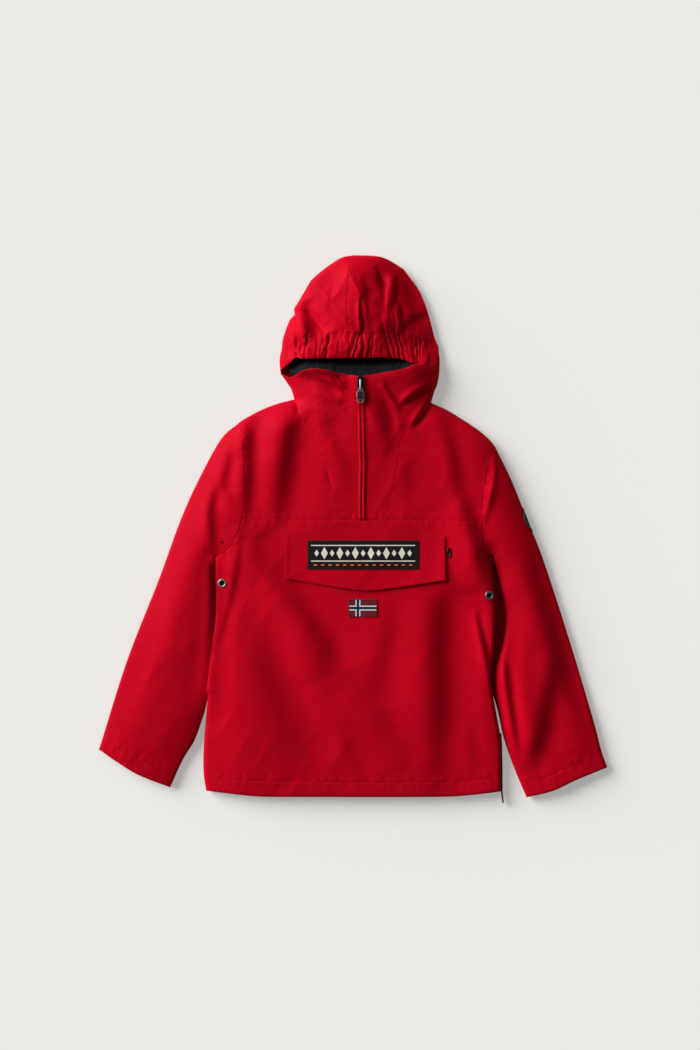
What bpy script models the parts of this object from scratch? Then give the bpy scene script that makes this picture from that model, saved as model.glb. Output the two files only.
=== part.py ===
"""Hooded half-zip anorak in a child's size, laid flat on its back, front up.

X runs across the chest, Y from the hem to the hood and Z up from the surface
that the garment lies on.  Every size and place below is in millimetres; the
meshes are made in metres.  "Left" is the side towards -X.

The cloth is one height field over the laid-out outline: a crown that fills the
garment with air, a round fall to the folded side edges, and a table of folds.
Each cut piece is a patch of that field with a wall of its own.
"""
import math

import bpy
import bmesh
import numpy as np
from mathutils import Vector
from mathutils.bvhtree import BVHTree

MM = 0.001

# ---------------------------------------------------------------- cloth sizes
CLOTH = 1.6            # shell and lining of one wall
SEAM_GAP = 0.3         # between two cut pieces
BRIM_ROOM = 0.25       # the gathered brim's own share of its seam gap
FOLD_HEIGHT = 7.5      # a folded side edge above the surface
UNDER_REACH = 12.0     # from a side edge in to where the underside lies flat
EDGE_SLACK = 0.25      # strip along a side edge that stays at the fold height
REACH_PER_RISE = 3.0   # the round fall's width for each mm of its height
REACH_LEAST = 20.0
REACH_MOST = 75.0
OPEN_EDGE_SHARE = 0.55  # of the crown that is left at the hem and the cuffs
OPEN_EDGE_REACH = 22.0
FOLD_WIDTH_LEAST = 13.0  # narrower folds are drawn this wide in the solids
CLUSTER = 0.75         # how far grid lines crowd towards a side edge
EVERY = 0.1            # step by which a laid-on piece is raised until it is clear
SKY = 0.2              # height in metres from which the cloth is probed

# ------------------------------------------------------------ trimming sizes
ZIP_HALF_GAP = 1.5     # neck panel edge from the zip's centre line
LIP_WIDTH = 4.8
LIP_HEIGHT = 2.2
LIP_SLOT = 0.25
TAPE_WIDTH = 18.0
TAPE_THICKNESS = 1.0
PROBE_IN = 0.8         # how far in from its edge a panel is measured
FLAP_THICKNESS = 1.8
PATCH_THICKNESS = 1.0
BADGE_RADIUS = 25.0
BADGE_SHOWN = 9.0      # how far the badge reaches in over the upper side
BADGE_ROOM = 2.6       # the sleeve's underside is this far up over the badge
BADGE_ROOM_REACH = 62.0
EYELET_OUTER = 6.8
EYELET_INNER = 3.4
EYELET_HEIGHT = 1.5
SIDE_ZIP_THICKNESS = 1.4
SIDE_ZIP_HEIGHT = 6.0
SIDE_ZIP_TOP = -306.0  # y of the zip's upper end
SIDE_ZIP_TAIL = ((222.6, -398.0), (223.4, -404.0), (224.0, -410.0))  # free tape end
SIDE_ZIP_CELLS = 14
EDGE_HIT = 0.27        # points this near a side edge have level directions

# ------------------------------------------------------ slider and pull tab
AXIS_X = 11.0          # hinge axis on the zip's line
AXIS_Y = 208.0
AXIS_RISE = 4.6        # hinge axis above the cloth under the slider
SLIDER_WIDTH = 9.6
SLIDER_FRONT = 4.6     # slider body from the axis towards the hem
SLIDER_BACK = 19.0     # and towards the hood
SLIDER_BODY = (-4.2, -1.6)  # bottom and top of the body, from the axis
SLIDER_NOSE = 2.6      # radius of the body's corners
SLIDER_FEET = (-4.8, -3.0, 3.0, 4.8)  # x at which the slider rests on the cloth
HOOP_WIDTH = 2.2
HOOP_HALF_LENGTH = 3.6
HOOP_TOP = 2.8
HOOP_BAR = 1.5
HOOP_LEG = 1.5
HOOP_SUNK = 0.4        # how far the hoop's feet go into the body
HOOP_CORNER = 1.2
BAR_RADIUS = 0.9
PULL_WIDTH = 10.6
PULL_LENGTH = 20.5
PULL_THICKNESS = 1.5
PULL_SLOT_WIDTH = 4.0
PULL_SLOT_END = 5.3
PULL_NECK = 3.4        # half width of the plate at its bar
PULL_FLARE = (-6.5, -9.0)  # where the neck starts and ends widening
PULL_CORNER = 3.0
LOOP_HALF = (2.1, 6.0)  # the pocket pull's loop, half sizes to its wire's middle
LOOP_WIRE = 0.9

# ------------------------------------------------------------------ outlines
# Each is a smooth line through a few (x, y) places, hem to hood or outwards.
TORSO_LEFT = ((-220, -392), (-224, -362), (-223, -316), (-217.5, -256), (-213, -214),
              (-208, -166), (-204.6, -129), (-204, -92), (-205, -64), (-205, -42))
TORSO_RIGHT = ((222, -393), (222, -362), (221, -316), (218, -294), (214, -272),
               (209, -242), (207, -214), (211, -182), (213, -152), (214, -122),
               (212, -92), (209, -64), (206, -42))
ARMHOLE_LEFT = ((-172, 158), (-166, 134), (-162, 106), (-160, 74), (-161, 36),
                (-165, 15), (-176, -18), (-189, -33), (-205, -42))
ARMHOLE_RIGHT = ((213, 123), (206, 108), (200, 81), (195, 51), (193, 21),
                 (194, -4), (198, -28), (206, -42))
SHOULDER_LEFT = ((-172, 158), (-164, 164), (-138, 178), (-112, 188), (-88, 194))
SHOULDER_RIGHT = ((213, 123), (204, 134), (188, 148), (164, 164), (141, 178), (117, 189))
SLEEVE_OUT_LEFT = ((-172, 158), (-198, 134), (-231, 74), (-258, 14), (-291, -76),
                   (-338, -196), (-376, -316), (-381, -330))
SLEEVE_IN_LEFT = ((-205, -42), (-206.4, -64), (-205.4, -92), (-206, -129), (-209.4, -166),
                  (-214.4, -214), (-219.4, -256), (-225, -282), (-237, -316), (-255, -346),
                  (-274, -387))
SLEEVE_OUT_RIGHT = ((213, 123), (237, 74), (261, 14), (285, -46), (324, -166),
                    (360, -286), (372, -332), (381, -357))
SLEEVE_IN_RIGHT = ((206, -42), (210.6, -64), (213.6, -92), (215.6, -122), (214.6, -152),
                   (212.6, -182), (208.6, -214), (210.8, -242), (218, -272), (226, -314),
                   (243, -362), (260, -402))
CUFF_LEFT = ((-381, -330), (-333, -362), (-303, -376), (-274, -387))
CUFF_RIGHT = ((381, -357), (334, -376), (300, -392), (260, -402))
HEM = ((-220, -392), (-146, -400), (-80, -401), (118, -401), (168, -399), (222, -393))
HOOD_SIDE_LEFT = ((-107, 268), (-104, 284), (-95, 314), (-82, 344), (-63, 372))
HOOD_TOP_LEFT = ((-63, 372), (-51, 383), (-34, 396), (-16, 407), (2, 410))
HOOD_TOP_RIGHT = ((2, 410), (33, 409), (51, 404), (76, 389))
HOOD_SIDE_RIGHT = ((76, 389), (98, 358), (111, 328), (123, 284), (127, 274))
BRIM_END_LEFT = ((-109, 237), (-110, 254), (-107, 268))
BRIM_END_RIGHT = ((130, 250), (129, 262), (127, 274))
NECK_SIDE_LEFT = ((-88, 194), (-92, 208), (-98, 218), (-108, 232))
NECK_SIDE_RIGHT = ((117, 189), (122, 206), (126, 216), (129, 231), (130, 250))
NECK_SEAM_LEFT = ((-21, 14), (-30, 44), (-38, 70), (-42, 92), (-50, 108), (-55, 128),
                  (-58, 146), (-70, 156), (-80, 171), (-88, 194))
NECK_SEAM_RIGHT = ((52, 14), (57, 44), (63, 81), (68, 108), (70, 126), (78, 144),
                   (99, 158), (110, 176), (117, 189))
COLLAR_LEFT = ((-108, 232), (-93, 227), (-73, 236), (-44, 238), (-21, 232), (11, 227))
COLLAR_RIGHT = ((11, 227), (52, 234), (76, 239), (92, 246), (110, 249), (130, 250))
BRIM_EDGE = ((-109, 237), (-98, 245), (-84, 256), (-73, 254), (-6, 254), (50, 255),
             (75, 252), (92, 247), (110, 249), (130, 250))
BRIM_SEAM_LEFT = ((-107, 268), (-86, 271), (-73, 282), (-38, 290), (-7, 291))
BRIM_SEAM_RIGHT = ((-7, 291), (25, 290), (67, 290), (100, 284), (127, 274))
HOOD_CENTRE = ((-7, 291), (-8, 330), (-7, 372), (2, 410))
ZIP_LINE = ((14, 14), (13, 44), (14, 99), (13, 134), (12, 186), (11, 227))
NECK_BACK = ((-88, 194), (14, 186), (117, 189))
YOKE_SEAM_Y = (15, 14, 14, 11)   # at the left armhole, the neck seams and the right one
FLAP_TOP = ((-102, -7), (137, -10))
FLAP_SIDES = 6                   # rows down the flap
FLAP_CELLS = 6                   # columns on each side of the flap's point
FLAP_LIFT = 0.4                  # more room under the flap's lower edge
FLAP_CORNER_LIFT = 0.5           # and under its right corner
FLAP_POINT = ((-102, -74), (20, -92), (137, -76))
LABEL_BOX = (-68, -60, 98, -17)  # x, y of two corners
FLAG_BOX = (-6, -130, 35, -105)
EYELETS = {"eyelet_left": (-195, -81), "eyelet_right": (203, -99)}
POCKET_PULL = (142.5, -34.5)
BADGE_PLACE = 0.235              # along the right sleeve's outer edge
BADGE_SECTION = (40.0, 60.0)     # how far the sleeve is measured over and under
BADGE_STEPS = 60
BADGE_RINGS = 3
BADGE_AROUND = 16
LINING_ROWS = (214, 276)         # y of the fleece's lower and upper ends
LINING_EDGE = 5.0                # between the fleece and the hood's side edges
LINING_CELLS = (12, 6)
LINING_ROLL = 15.0               # the fleece's soft roll in the face opening
LINING_ROLL_Y = 246.0
LINING_ROLL_WIDTH = 18.0
LINING_END = 45.0
LINING_THICKNESS = 2.0

# ------------------------------------------------------------- crown heights
# name, x, y, height of the upper side, how far the height holds
CROWN = (
    ("hem left", -150, -392, 17, 60),
    ("hem middle", 0, -396, 17, 60),
    ("hem right", 150, -392, 17, 60),
    ("waist left", -130, -260, 25, 80),
    ("waist middle", 0, -250, 29, 80),
    ("waist right", 130, -260, 25, 80),
    ("belly left", -110, -100, 28, 80),
    ("belly middle", 20, -100, 31, 80),
    ("belly right", 140, -100, 28, 80),
    ("chest left", -110, 60, 28, 70),
    ("chest middle", 15, 50, 30, 60),
    ("chest right", 140, 50, 28, 70),
    ("shoulder left", -130, 140, 25, 60),
    ("shoulder right", 160, 120, 26, 60),
    ("neck", 12, 130, 34, 40),
    ("collar", 12, 205, 38, 40),
    ("hood front", 5, 280, 44, 45),
    ("hood middle", 5, 335, 46, 50),
    ("hood top", 5, 400, 34, 35),
    ("left upper arm", -220, 50, 25, 60),
    ("left elbow", -265, -110, 25, 70),
    ("left forearm", -300, -250, 21, 60),
    ("left cuff", -328, -362, 15, 45),
    ("right upper arm", 245, 30, 26, 60),
    ("right elbow", 280, -130, 26, 70),
    ("right forearm", 300, -270, 21, 60),
    ("right cuff", 320, -385, 15, 45),
)

# --------------------------------------------------------------------- folds
# name, start x, y, middle x, y, end x, y, half width, rise (+) or fall (-)
FOLDS = (
    ("chest left trough", -89, 177, -97, 135, -100, 58, 12, -4.0),
    ("chest right trough", 124, 168, 146, 135, 160, 76, 12, -4.0),
    ("armhole right trough", 148, 76, 158, 46, 174, -2, 11, -4.0),
    ("left cap ridge", -181, 126, -174, 87, -166, 34, 12, 4.0),
    ("left arm trough", -212, 69, -220, 10, -206, -34, 15, -7.0),
    ("left cap trough", -189, 62, -178, 46, -168, 27, 10, -4.0),
    ("left elbow trough", -246, -118, -254, -148, -261, -178, 15, -4.0),
    ("right arm trough", 229, 58, 208, 16, 203, -32, 12, -6.0),
    ("right arm shade", 216, -62, 229, -130, 220, -192, 14, -5.0),
    ("right forearm trough", 227, -200, 237, -262, 250, -335, 12, -4.0),
    ("right cuff trough", 294, -237, 282, -306, 262, -364, 12, -4.0),
    ("right cap ridge", 209, 112, 205, 52, 194, 6, 11, 4.0),
    ("left side crease", -166, 0, -176, -66, -204, -178, 12, -5.0),
    ("long swag ridge", -133, -102, -50, -232, 60, -366, 20, 4.0),
    ("long swag trough", -98, -122, -22, -204, 70, -316, 20, -4.5),
    ("belly trough", -46, -121, -28, -165, -8, -212, 14, -4.0),
    ("belly ridge", 60, -106, 68, -180, 86, -256, 13, 4.0),
    ("right belly trough", 128, -112, 135, -205, 122, -344, 14, -5.0),
    ("right belly ridge", 152, -112, 151, -190, 146, -261, 12, 4.0),
    ("right side crease", 186, -130, 195, -172, 205, -214, 10, -5.0),
    ("hem trough", -20, -321, 0, -342, 16, -360, 11, -3.0),
    ("hem left trough", -118, -335, -112, -350, -106, -368, 10, -3.0),
    ("hood left ridge", -76, 343, -58, 318, -36, 291, 10, 5.0),
    ("hood left trough", -75, 322, -66, 306, -56, 288, 9, -4.0),
    ("hood black crease", 12, 350, 11, 322, 13, 296, 9, -6.0),
    ("hood bright ridge", 57, 376, 48, 330, 56, 292, 11, 5.0),
    ("hood top trough", 36, 386, 42, 372, 49, 356, 9, -4.0),
    ("hood crown trough", 8, 374, 17, 362, 26, 350, 9, -3.0),
    ("hood soft ridge", -34, 378, -33, 352, -40, 316, 12, 4.0),
    ("hood right ridge", 72, 295, 95, 303, 117, 310, 10, 5.0),
    ("hood right shade", 70, 318, 90, 316, 112, 320, 9, -3.0),
    ("hood left bump", -86, 322, -81, 312, -77, 300, 9, 4.0),
    ("brim stitch trough", -96, 268, -7, 294, 120, 278, 7, -4.0),
    ("brim crest", -96, 258, 0, 273, 116, 262, 9, 4.0),
    ("face opening", -108, 235, -8, 244, 92, 246, 10, -9.0),
    ("collar roll left", -100, 222, -52, 228, -16, 218, 9, 3.0),
    ("collar left trough", -58, 222, -40, 207, -18, 194, 10, -4.0),
    ("collar star arm", 48, 216, 62, 207, 75, 195, 10, -4.0),
    ("collar star side", 75, 195, 96, 200, 116, 210, 9, -4.0),
    ("collar arc ridge", 40, 200, 64, 168, 66, 106, 11, 4.0),
)

# ---------------------------------------------------------------- brim gathers
# x of a pleat, half width, depth
GATHERS = (
    (-92, 3.4, 2.2), (-79, 3.2, 2.8), (-69, 3.4, 3.4), (-58, 3.6, 2.4), (-47, 3.4, 2.6),
    (-38, 3.2, 3.4), (-30, 3.0, 3.2), (-20, 3.4, 2.2), (-6, 3.0, 3.4), (6, 3.0, 3.2),
    (14, 3.0, 2.6), (23, 3.4, 2.0), (31, 3.2, 3.2), (42, 3.6, 2.2), (52, 3.2, 3.4),
    (61, 3.0, 3.0), (71, 3.2, 3.4), (79, 3.0, 2.6), (87, 3.2, 2.2), (97, 3.4, 3.0),
    (108, 3.4, 2.2), (118, 3.2, 2.0),
)

# ----------------------------------------------------------------- grid sizes
YOKE_SEAM_CELLS = 9
NECK_SEAM_CELLS = 6
ARMHOLE_UPPER_CELLS = 8
ARMHOLE_LOWER_CELLS = 4
TORSO_CELLS = 17
SLEEVE_CELLS = 14
ELBOW_CELL = 3         # the arm's cell at whose end the sleeve is parted
SLEEVE_ROUND = 10
NECK_CELLS = 8
NECK_SIDE_CELLS = 3
HOOD_CELLS = 11
BRIM_CELLS = 78
NECK_BACK_CELLS = 8
BRIM_ROWS = 3
HOOD_BACK_ROWS = 12
SHOULDER_CELLS = 4
RING_AROUND = 20
LOOP_AROUND = 16
ZIP_ROWS = 20
SLIDER_ROWS = 8

# ------------------------------------------------------------------ materials
# name: colour, roughness, metallic
FINISHES = {
    "shell fabric": ((0.58, 0.006, 0.022), 0.62, 0.0),
    "lining fleece": ((0.014, 0.016, 0.022), 0.95, 0.0),
    "label cloth": ((0.012, 0.012, 0.013), 0.8, 0.0),
    "flag cloth": ((0.16, 0.01, 0.03), 0.8, 0.0),
    "zip tape": ((0.02, 0.02, 0.024), 0.7, 0.0),
    "gunmetal": ((0.10, 0.10, 0.11), 0.35, 1.0),
}


# =================================================================== 2D lines
def smooth_line(places, steps=10):
    """A smooth line through a few places, as an array of points."""
    knots = np.array(places, dtype=float)
    ends = np.vstack([2 * knots[0] - knots[1], knots, 2 * knots[-1] - knots[-2]])
    line = []
    for span in range(len(knots) - 1):
        before, start, end, after = ends[span:span + 4]
        for step in range(steps):
            t = step / steps
            line.append(0.5 * (2 * start + (end - before) * t
                               + (2 * before - 5 * start + 4 * end - after) * t ** 2
                               + (3 * start - before - 3 * end + after) * t ** 3))
    line.append(knots[-1])
    return np.array(line)


def along(line, shares):
    """Points at the given shares of a line's length."""
    steps = np.linalg.norm(np.diff(line, axis=0), axis=1)
    length = np.concatenate([[0.0], np.cumsum(steps)])
    places = np.asarray(shares) * length[-1]
    return np.stack([np.interp(places, length, line[:, axis]) for axis in (0, 1)], axis=1)


def shares_of(points):
    """Each point's share of the length of the line that they make."""
    steps = np.linalg.norm(np.diff(points, axis=0), axis=1)
    length = np.concatenate([[0.0], np.cumsum(steps)])
    return length / length[-1]


def spread(cells, start=False, end=False):
    """Shares from 0 to 1, crowded towards the ends that are side edges."""
    t = np.linspace(0.0, 1.0, cells + 1)
    if start and end:
        eased = (1 - np.cos(math.pi * t)) / 2
    elif start:
        eased = 1 - np.cos(math.pi * t / 2)
    elif end:
        eased = np.sin(math.pi * t / 2)
    else:
        eased = t
    return CLUSTER * eased + (1 - CLUSTER) * t


def chain(*lines):
    """Lines joined end to end, without doubled points."""
    parts = [lines[0]]
    for line in lines[1:]:
        parts.append(line[1:])
    return np.vstack(parts)


def split_at_height(line, height):
    """A line cut in two where it first passes a height, from its start."""
    above = line[:, 1] > height
    index = int(np.argmax(above != above[0]))
    before, after = line[index - 1], line[index]
    share = (height - before[1]) / (after[1] - before[1])
    cut = before + share * (after - before)
    return np.vstack([line[:index], cut]), np.vstack([cut, line[index:]])


# ============================================================= the height field
class Edge:
    """An outline line with the distance and the direction away from it."""

    def __init__(self, line, least, reach=None):
        self.starts = line[:-1]
        self.runs = np.diff(line, axis=0)
        self.squares = np.maximum((self.runs ** 2).sum(axis=1), 1e-9)
        self.least = least
        self.reach = reach

    def distance(self, points):
        offsets = points[:, None, :] - self.starts[None]
        share = np.clip((offsets * self.runs).sum(axis=2) / self.squares, 0, 1)
        gaps = offsets - share[:, :, None] * self.runs
        lengths = np.sqrt((gaps ** 2).sum(axis=2))
        best = lengths.argmin(axis=1)
        rows = np.arange(len(points))
        length = lengths[rows, best]
        away = gaps[rows, best] / np.maximum(length, 1e-6)[:, None]
        return length, away


def fall(length, least, reach):
    """Share of the crown at a distance from an edge, and its slope."""
    q = np.clip((length - EDGE_SLACK) / reach, 0.0, 1.0)
    arc = np.sqrt(np.maximum(1 - (1 - q) ** 2, 0.0))
    slope = (1 - least) * (1 - q) / (reach * np.maximum(arc, 1e-4))
    return least + (1 - least) * arc, slope


def relief(points):
    """Height of the upper side before it falls to the edges."""
    weight = np.zeros(len(points))
    height = np.zeros(len(points))
    for _, x, y, rise, hold in CROWN:
        gap = (points[:, 0] - x) ** 2 + (points[:, 1] - y) ** 2
        share = np.exp(-gap / (2 * hold ** 2)) + 1e-9
        weight += share
        height += share * rise
    height /= weight
    crown = height.copy()
    for _, x0, y0, xm, ym, x1, y1, width, rise in FOLDS:
        height += rise * fold_share(points, (x0, y0), (xm, ym), (x1, y1), width)
    return height, crown


def fold_share(points, start, middle, end, width):
    """1 on a fold's line, falling to 0 beside it and towards its ends."""
    start, middle, end = (np.array(place, dtype=float) for place in (start, middle, end))
    control = 2 * middle - (start + end) / 2
    t = np.linspace(0, 1, 9)[:, None]
    line = (1 - t) ** 2 * start + 2 * t * (1 - t) * control + t ** 2 * end
    starts, runs = line[:-1], np.diff(line, axis=0)
    offsets = points[:, None, :] - starts[None]
    share = np.clip((offsets * runs).sum(axis=2) / (runs ** 2).sum(axis=1), 0, 1)
    gaps = np.sqrt(((offsets - share[:, :, None] * runs) ** 2).sum(axis=2))
    best = gaps.argmin(axis=1)
    rows = np.arange(len(points))
    place = (best + share[rows, best]) / len(runs)
    taper = np.clip(1 - (2 * place - 1) ** 4, 0.15, 1)
    wide = max(width, FOLD_WIDTH_LEAST)
    return np.exp(-(gaps[rows, best] / wide) ** 2) * taper


def gather_share(points):
    """Depth of the brim's gathers under each place, at full strength."""
    depth = np.zeros(len(points))
    for x, width, rise in GATHERS:
        depth -= rise * np.exp(-((points[:, 0] - x) / width) ** 2)
    return depth


def upper(points, extra=None):
    """Places and outward directions on the garment's upper side."""
    step = 1.0
    base, crown = relief(points)
    slope = np.stack([(relief(points + move)[0] - base) / step
                      for move in (np.array([step, 0.0]), np.array([0.0, step]))], axis=1)
    if extra is not None:
        base = base + extra(points)
        slope += np.stack([(extra(points + move) - extra(points)) / step
                           for move in (np.array([step, 0.0]), np.array([0.0, step]))], axis=1)
    reach = np.clip(REACH_PER_RISE * (crown - FOLD_HEIGHT), REACH_LEAST, REACH_MOST)
    shares, slopes, inward = [], [], []
    for edge in EDGES:
        length, away = edge.distance(points)
        share, steep = fall(length, edge.least, edge.reach or reach)
        shares.append(share)
        slopes.append(steep)
        inward.append(away)
    whole = np.prod(shares, axis=0)
    tilt = whole[:, None] * slope
    for index in range(len(EDGES)):
        others = np.prod([s for k, s in enumerate(shares) if k != index], axis=0)
        tilt += ((base - FOLD_HEIGHT) * others * slopes[index])[:, None] * inward[index]
    height = FOLD_HEIGHT + SEAM_GAP / 2 + (base - FOLD_HEIGHT) * whole
    normals = np.column_stack([-tilt, np.ones(len(points))])
    normals /= np.linalg.norm(normals, axis=1)[:, None]
    return np.column_stack([points, height]), normals


def under(points):
    """Places and outward directions on the garment's underside."""
    lengths, ways = zip(*(edge.distance(points) for edge in EDGES if edge.least == 0))
    nearest = np.argmin(lengths, axis=0)
    rows = np.arange(len(points))
    length = np.array(lengths)[nearest, rows]
    away = np.array(ways)[nearest, rows]
    share, steep = fall(length, 0.0, UNDER_REACH)
    height = (FOLD_HEIGHT - SEAM_GAP / 2) * (1 - share)
    gap = np.linalg.norm(points - BADGE_CENTRE, axis=1) / BADGE_ROOM_REACH
    room = (1 - np.clip(gap, 0, 1) ** 2) ** 2
    height += BADGE_ROOM * room * share
    normals = np.column_stack([-FOLD_HEIGHT * steep[:, None] * away, -np.ones(len(points))])
    normals /= np.linalg.norm(normals, axis=1)[:, None]
    return np.column_stack([points, height]), normals


def edge_distance(points):
    """Distance to the nearest folded side edge."""
    return np.min([edge.distance(points)[0] for edge in EDGES if edge.least == 0], axis=0)


# ================================================================== mesh tools
def add_object(name, points, faces, finish):
    """A closed mesh object from millimetre points."""
    mesh = bpy.data.meshes.new(name)
    mesh.from_pydata([tuple(MM * float(value) for value in point) for point in points],
                     [], faces)
    work = bmesh.new()
    work.from_mesh(mesh)
    bmesh.ops.recalc_face_normals(work, faces=work.faces)
    bmesh.ops.triangulate(work, faces=work.faces)
    work.to_mesh(mesh)
    work.free()
    mesh.materials.append(MATERIALS[finish])
    mesh.shade_smooth()
    mesh.set_sharp_from_angle(angle=math.radians(50))
    item = bpy.data.objects.new(name, mesh)
    bpy.context.scene.collection.objects.link(item)
    return item


def grid_faces(numbers):
    """Quads over a grid of point numbers."""
    faces = []
    for row in range(numbers.shape[0] - 1):
        for col in range(numbers.shape[1] - 1):
            faces.append((int(numbers[row, col]), int(numbers[row, col + 1]),
                          int(numbers[row + 1, col + 1]), int(numbers[row + 1, col])))
    return faces


def wall_of(outer, inner, faces):
    """Points and faces of a wall between a skin and the same skin moved in."""
    count = len(outer)
    edges = {}
    for face in faces:
        for start, end in zip(face, face[1:] + face[:1]):
            edges[(start, end)] = True
    whole = list(faces) + [tuple(count + index for index in face[::-1]) for face in faces]
    for start, end in edges:
        if (end, start) not in edges:
            whole.append((end, start, count + start, count + end))
    return np.vstack([outer, inner]), whole


def wall(outer, inner):
    """Points and faces of a wall between two grids of the same size."""
    numbers = np.arange(outer.shape[0] * outer.shape[1]).reshape(outer.shape[:2])
    return wall_of(outer.reshape(-1, 3), inner.reshape(-1, 3), grid_faces(numbers))


def fill(bottom, top, left, right):
    """A grid of (x, y) places between four lines that share corners."""
    u = ((shares_of(bottom) + shares_of(top)) / 2)[None, :, None]
    v = ((shares_of(left) + shares_of(right)) / 2)[:, None, None]
    across = (1 - u) * left[:, None] + u * right[:, None]
    upward = (1 - v) * bottom[None] + v * top[None]
    corners = ((1 - v) * ((1 - u) * bottom[0] + u * bottom[-1])
               + v * ((1 - u) * top[0] + u * top[-1]))
    return across + upward - corners


def draw_in(grid, left=0.0, right=0.0, bottom=0.0, top=0.0):
    """The grid with its sides moved inwards, to leave room at seams."""
    moved = grid.copy()
    for side, distance in (("left", left), ("right", right), ("bottom", bottom), ("top", top)):
        if not distance:
            continue
        edge = {"left": grid[:, 0], "right": grid[:, -1],
                "bottom": grid[0], "top": grid[-1]}[side]
        inner = {"left": grid[:, 1], "right": grid[:, -2],
                 "bottom": grid[1], "top": grid[-2]}[side]
        tangent = np.gradient(edge, axis=0)
        across = np.stack([-tangent[:, 1], tangent[:, 0]], axis=1)
        across /= np.linalg.norm(across, axis=1)[:, None]
        across *= np.sign(((inner - edge) * across).sum())
        target = {"left": moved[:, 0], "right": moved[:, -1],
                  "bottom": moved[0], "top": moved[-1]}[side]
        target += distance * across
    return moved


def field(grid, side, **options):
    """Places and directions of one side of the garment over a grid.

    On a folded edge the direction is level, and is read just inside the piece.
    """
    flat = grid.reshape(-1, 2)
    places, normals = side(flat, **options)
    centre = np.pad(grid, ((1, 1), (1, 1), (0, 0)), mode="edge")
    pull = np.zeros(flat.shape)
    for near in (centre[:-2, 1:-1], centre[2:, 1:-1], centre[1:-1, :-2], centre[1:-1, 2:]):
        way = (near - grid).reshape(-1, 2)
        pull += way / np.maximum(np.linalg.norm(way, axis=1), 1e-6)[:, None]
    pull /= np.maximum(np.linalg.norm(pull, axis=1), 1e-6)[:, None]
    on_edge = edge_distance(flat) < EDGE_HIT
    if on_edge.any():
        _, level = side(flat[on_edge] + 2 * EDGE_SLACK * pull[on_edge], **options)
        level[:, 2] = 0
        normals[on_edge] = level / np.linalg.norm(level, axis=1)[:, None]
    return places.reshape(grid.shape[:2] + (3,)), normals.reshape(grid.shape[:2] + (3,))


def panel(name, grid, side, finish="shell fabric", **options):
    """A cut piece of cloth: a patch of the field with a wall."""
    outer, normals = field(grid, side, **options)
    points, faces = wall(outer, outer - CLOTH * normals)
    return add_object(name, points, faces, finish)


def tree_of(*items):
    """A search tree over the triangles of some objects."""
    points, faces = [], []
    for item in items:
        start = len(points)
        points += [vertex.co.copy() for vertex in item.data.vertices]
        faces += [[start + index for index in face.vertices] for face in item.data.polygons]
    return BVHTree.FromPolygons(points, faces)


def touches(points, faces, tree):
    """Whether a shape in millimetres meets the triangles in a tree."""
    shape = BVHTree.FromPolygons([Vector(point) * MM for point in points],
                                 [list(face) for face in faces])
    return bool(shape.overlap(tree))


def laid_on(name, grid, carriers, thickness, finish, lift=None):
    """A flat piece made from the points of what carries it, moved out until clear."""
    tree = tree_of(*carriers)
    rise = np.zeros(grid.shape[:2]) if lift is None else lift
    under_side = np.zeros(grid.shape[:2] + (3,))
    normals = np.zeros(grid.shape[:2] + (3,))
    for row in range(grid.shape[0]):
        for col in range(grid.shape[1]):
            x, y = grid[row, col]
            hit, normal, _, _ = tree.ray_cast(Vector((x * MM, y * MM, SKY)),
                                              Vector((0, 0, -1)))
            under_side[row, col] = np.array(hit) / MM
            normals[row, col] = np.array(normal)
    distance = SEAM_GAP
    while True:
        low = under_side + (distance + rise)[:, :, None] * normals
        points, faces = wall(low + thickness * normals, low)
        if not touches(points, faces, tree):
            break
        distance += EVERY
    low = under_side + (distance + SEAM_GAP / 2 + rise)[:, :, None] * normals
    points, faces = wall(low + thickness * normals, low)
    return add_object(name, points, faces, finish)


def rectangle(x0, y0, x1, y1, cols, rows):
    """An even grid over a rectangle."""
    xs, ys = np.meshgrid(np.linspace(x0, x1, cols + 1), np.linspace(y0, y1, rows + 1))
    return np.stack([xs, ys], axis=2)


def prism(outline, low, high, axis):
    """Points and faces of an outline pushed along an axis."""
    count = len(outline)
    points = []
    for level in (low, high):
        for first, second in outline:
            place = {"x": (level, first, second), "z": (first, second, level)}[axis]
            points.append(place)
    faces = [tuple(range(count))[::-1], tuple(range(count, 2 * count))]
    for index in range(count):
        after = (index + 1) % count
        faces.append((index, after, count + after, count + index))
    return points, faces


def arc(centre, radius, start, end, count):
    """Points on an arc, in degrees."""
    angles = np.radians(np.linspace(start, end, count))
    return [(centre[0] + radius * math.cos(a), centre[1] + radius * math.sin(a))
            for a in angles]


def cut(target, cutter):
    """The cutter's shape taken out of the target."""
    tool = target.modifiers.new("cut", "BOOLEAN")
    tool.operation = "DIFFERENCE"
    tool.object = cutter
    cutter.hide_render = True
    cutter.display_type = "WIRE"


def join(target, other):
    """The other's shape made one with the target."""
    tool = target.modifiers.new("join", "BOOLEAN")
    tool.operation = "UNION"
    tool.object = other
    other.hide_render = True
    other.display_type = "WIRE"


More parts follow.
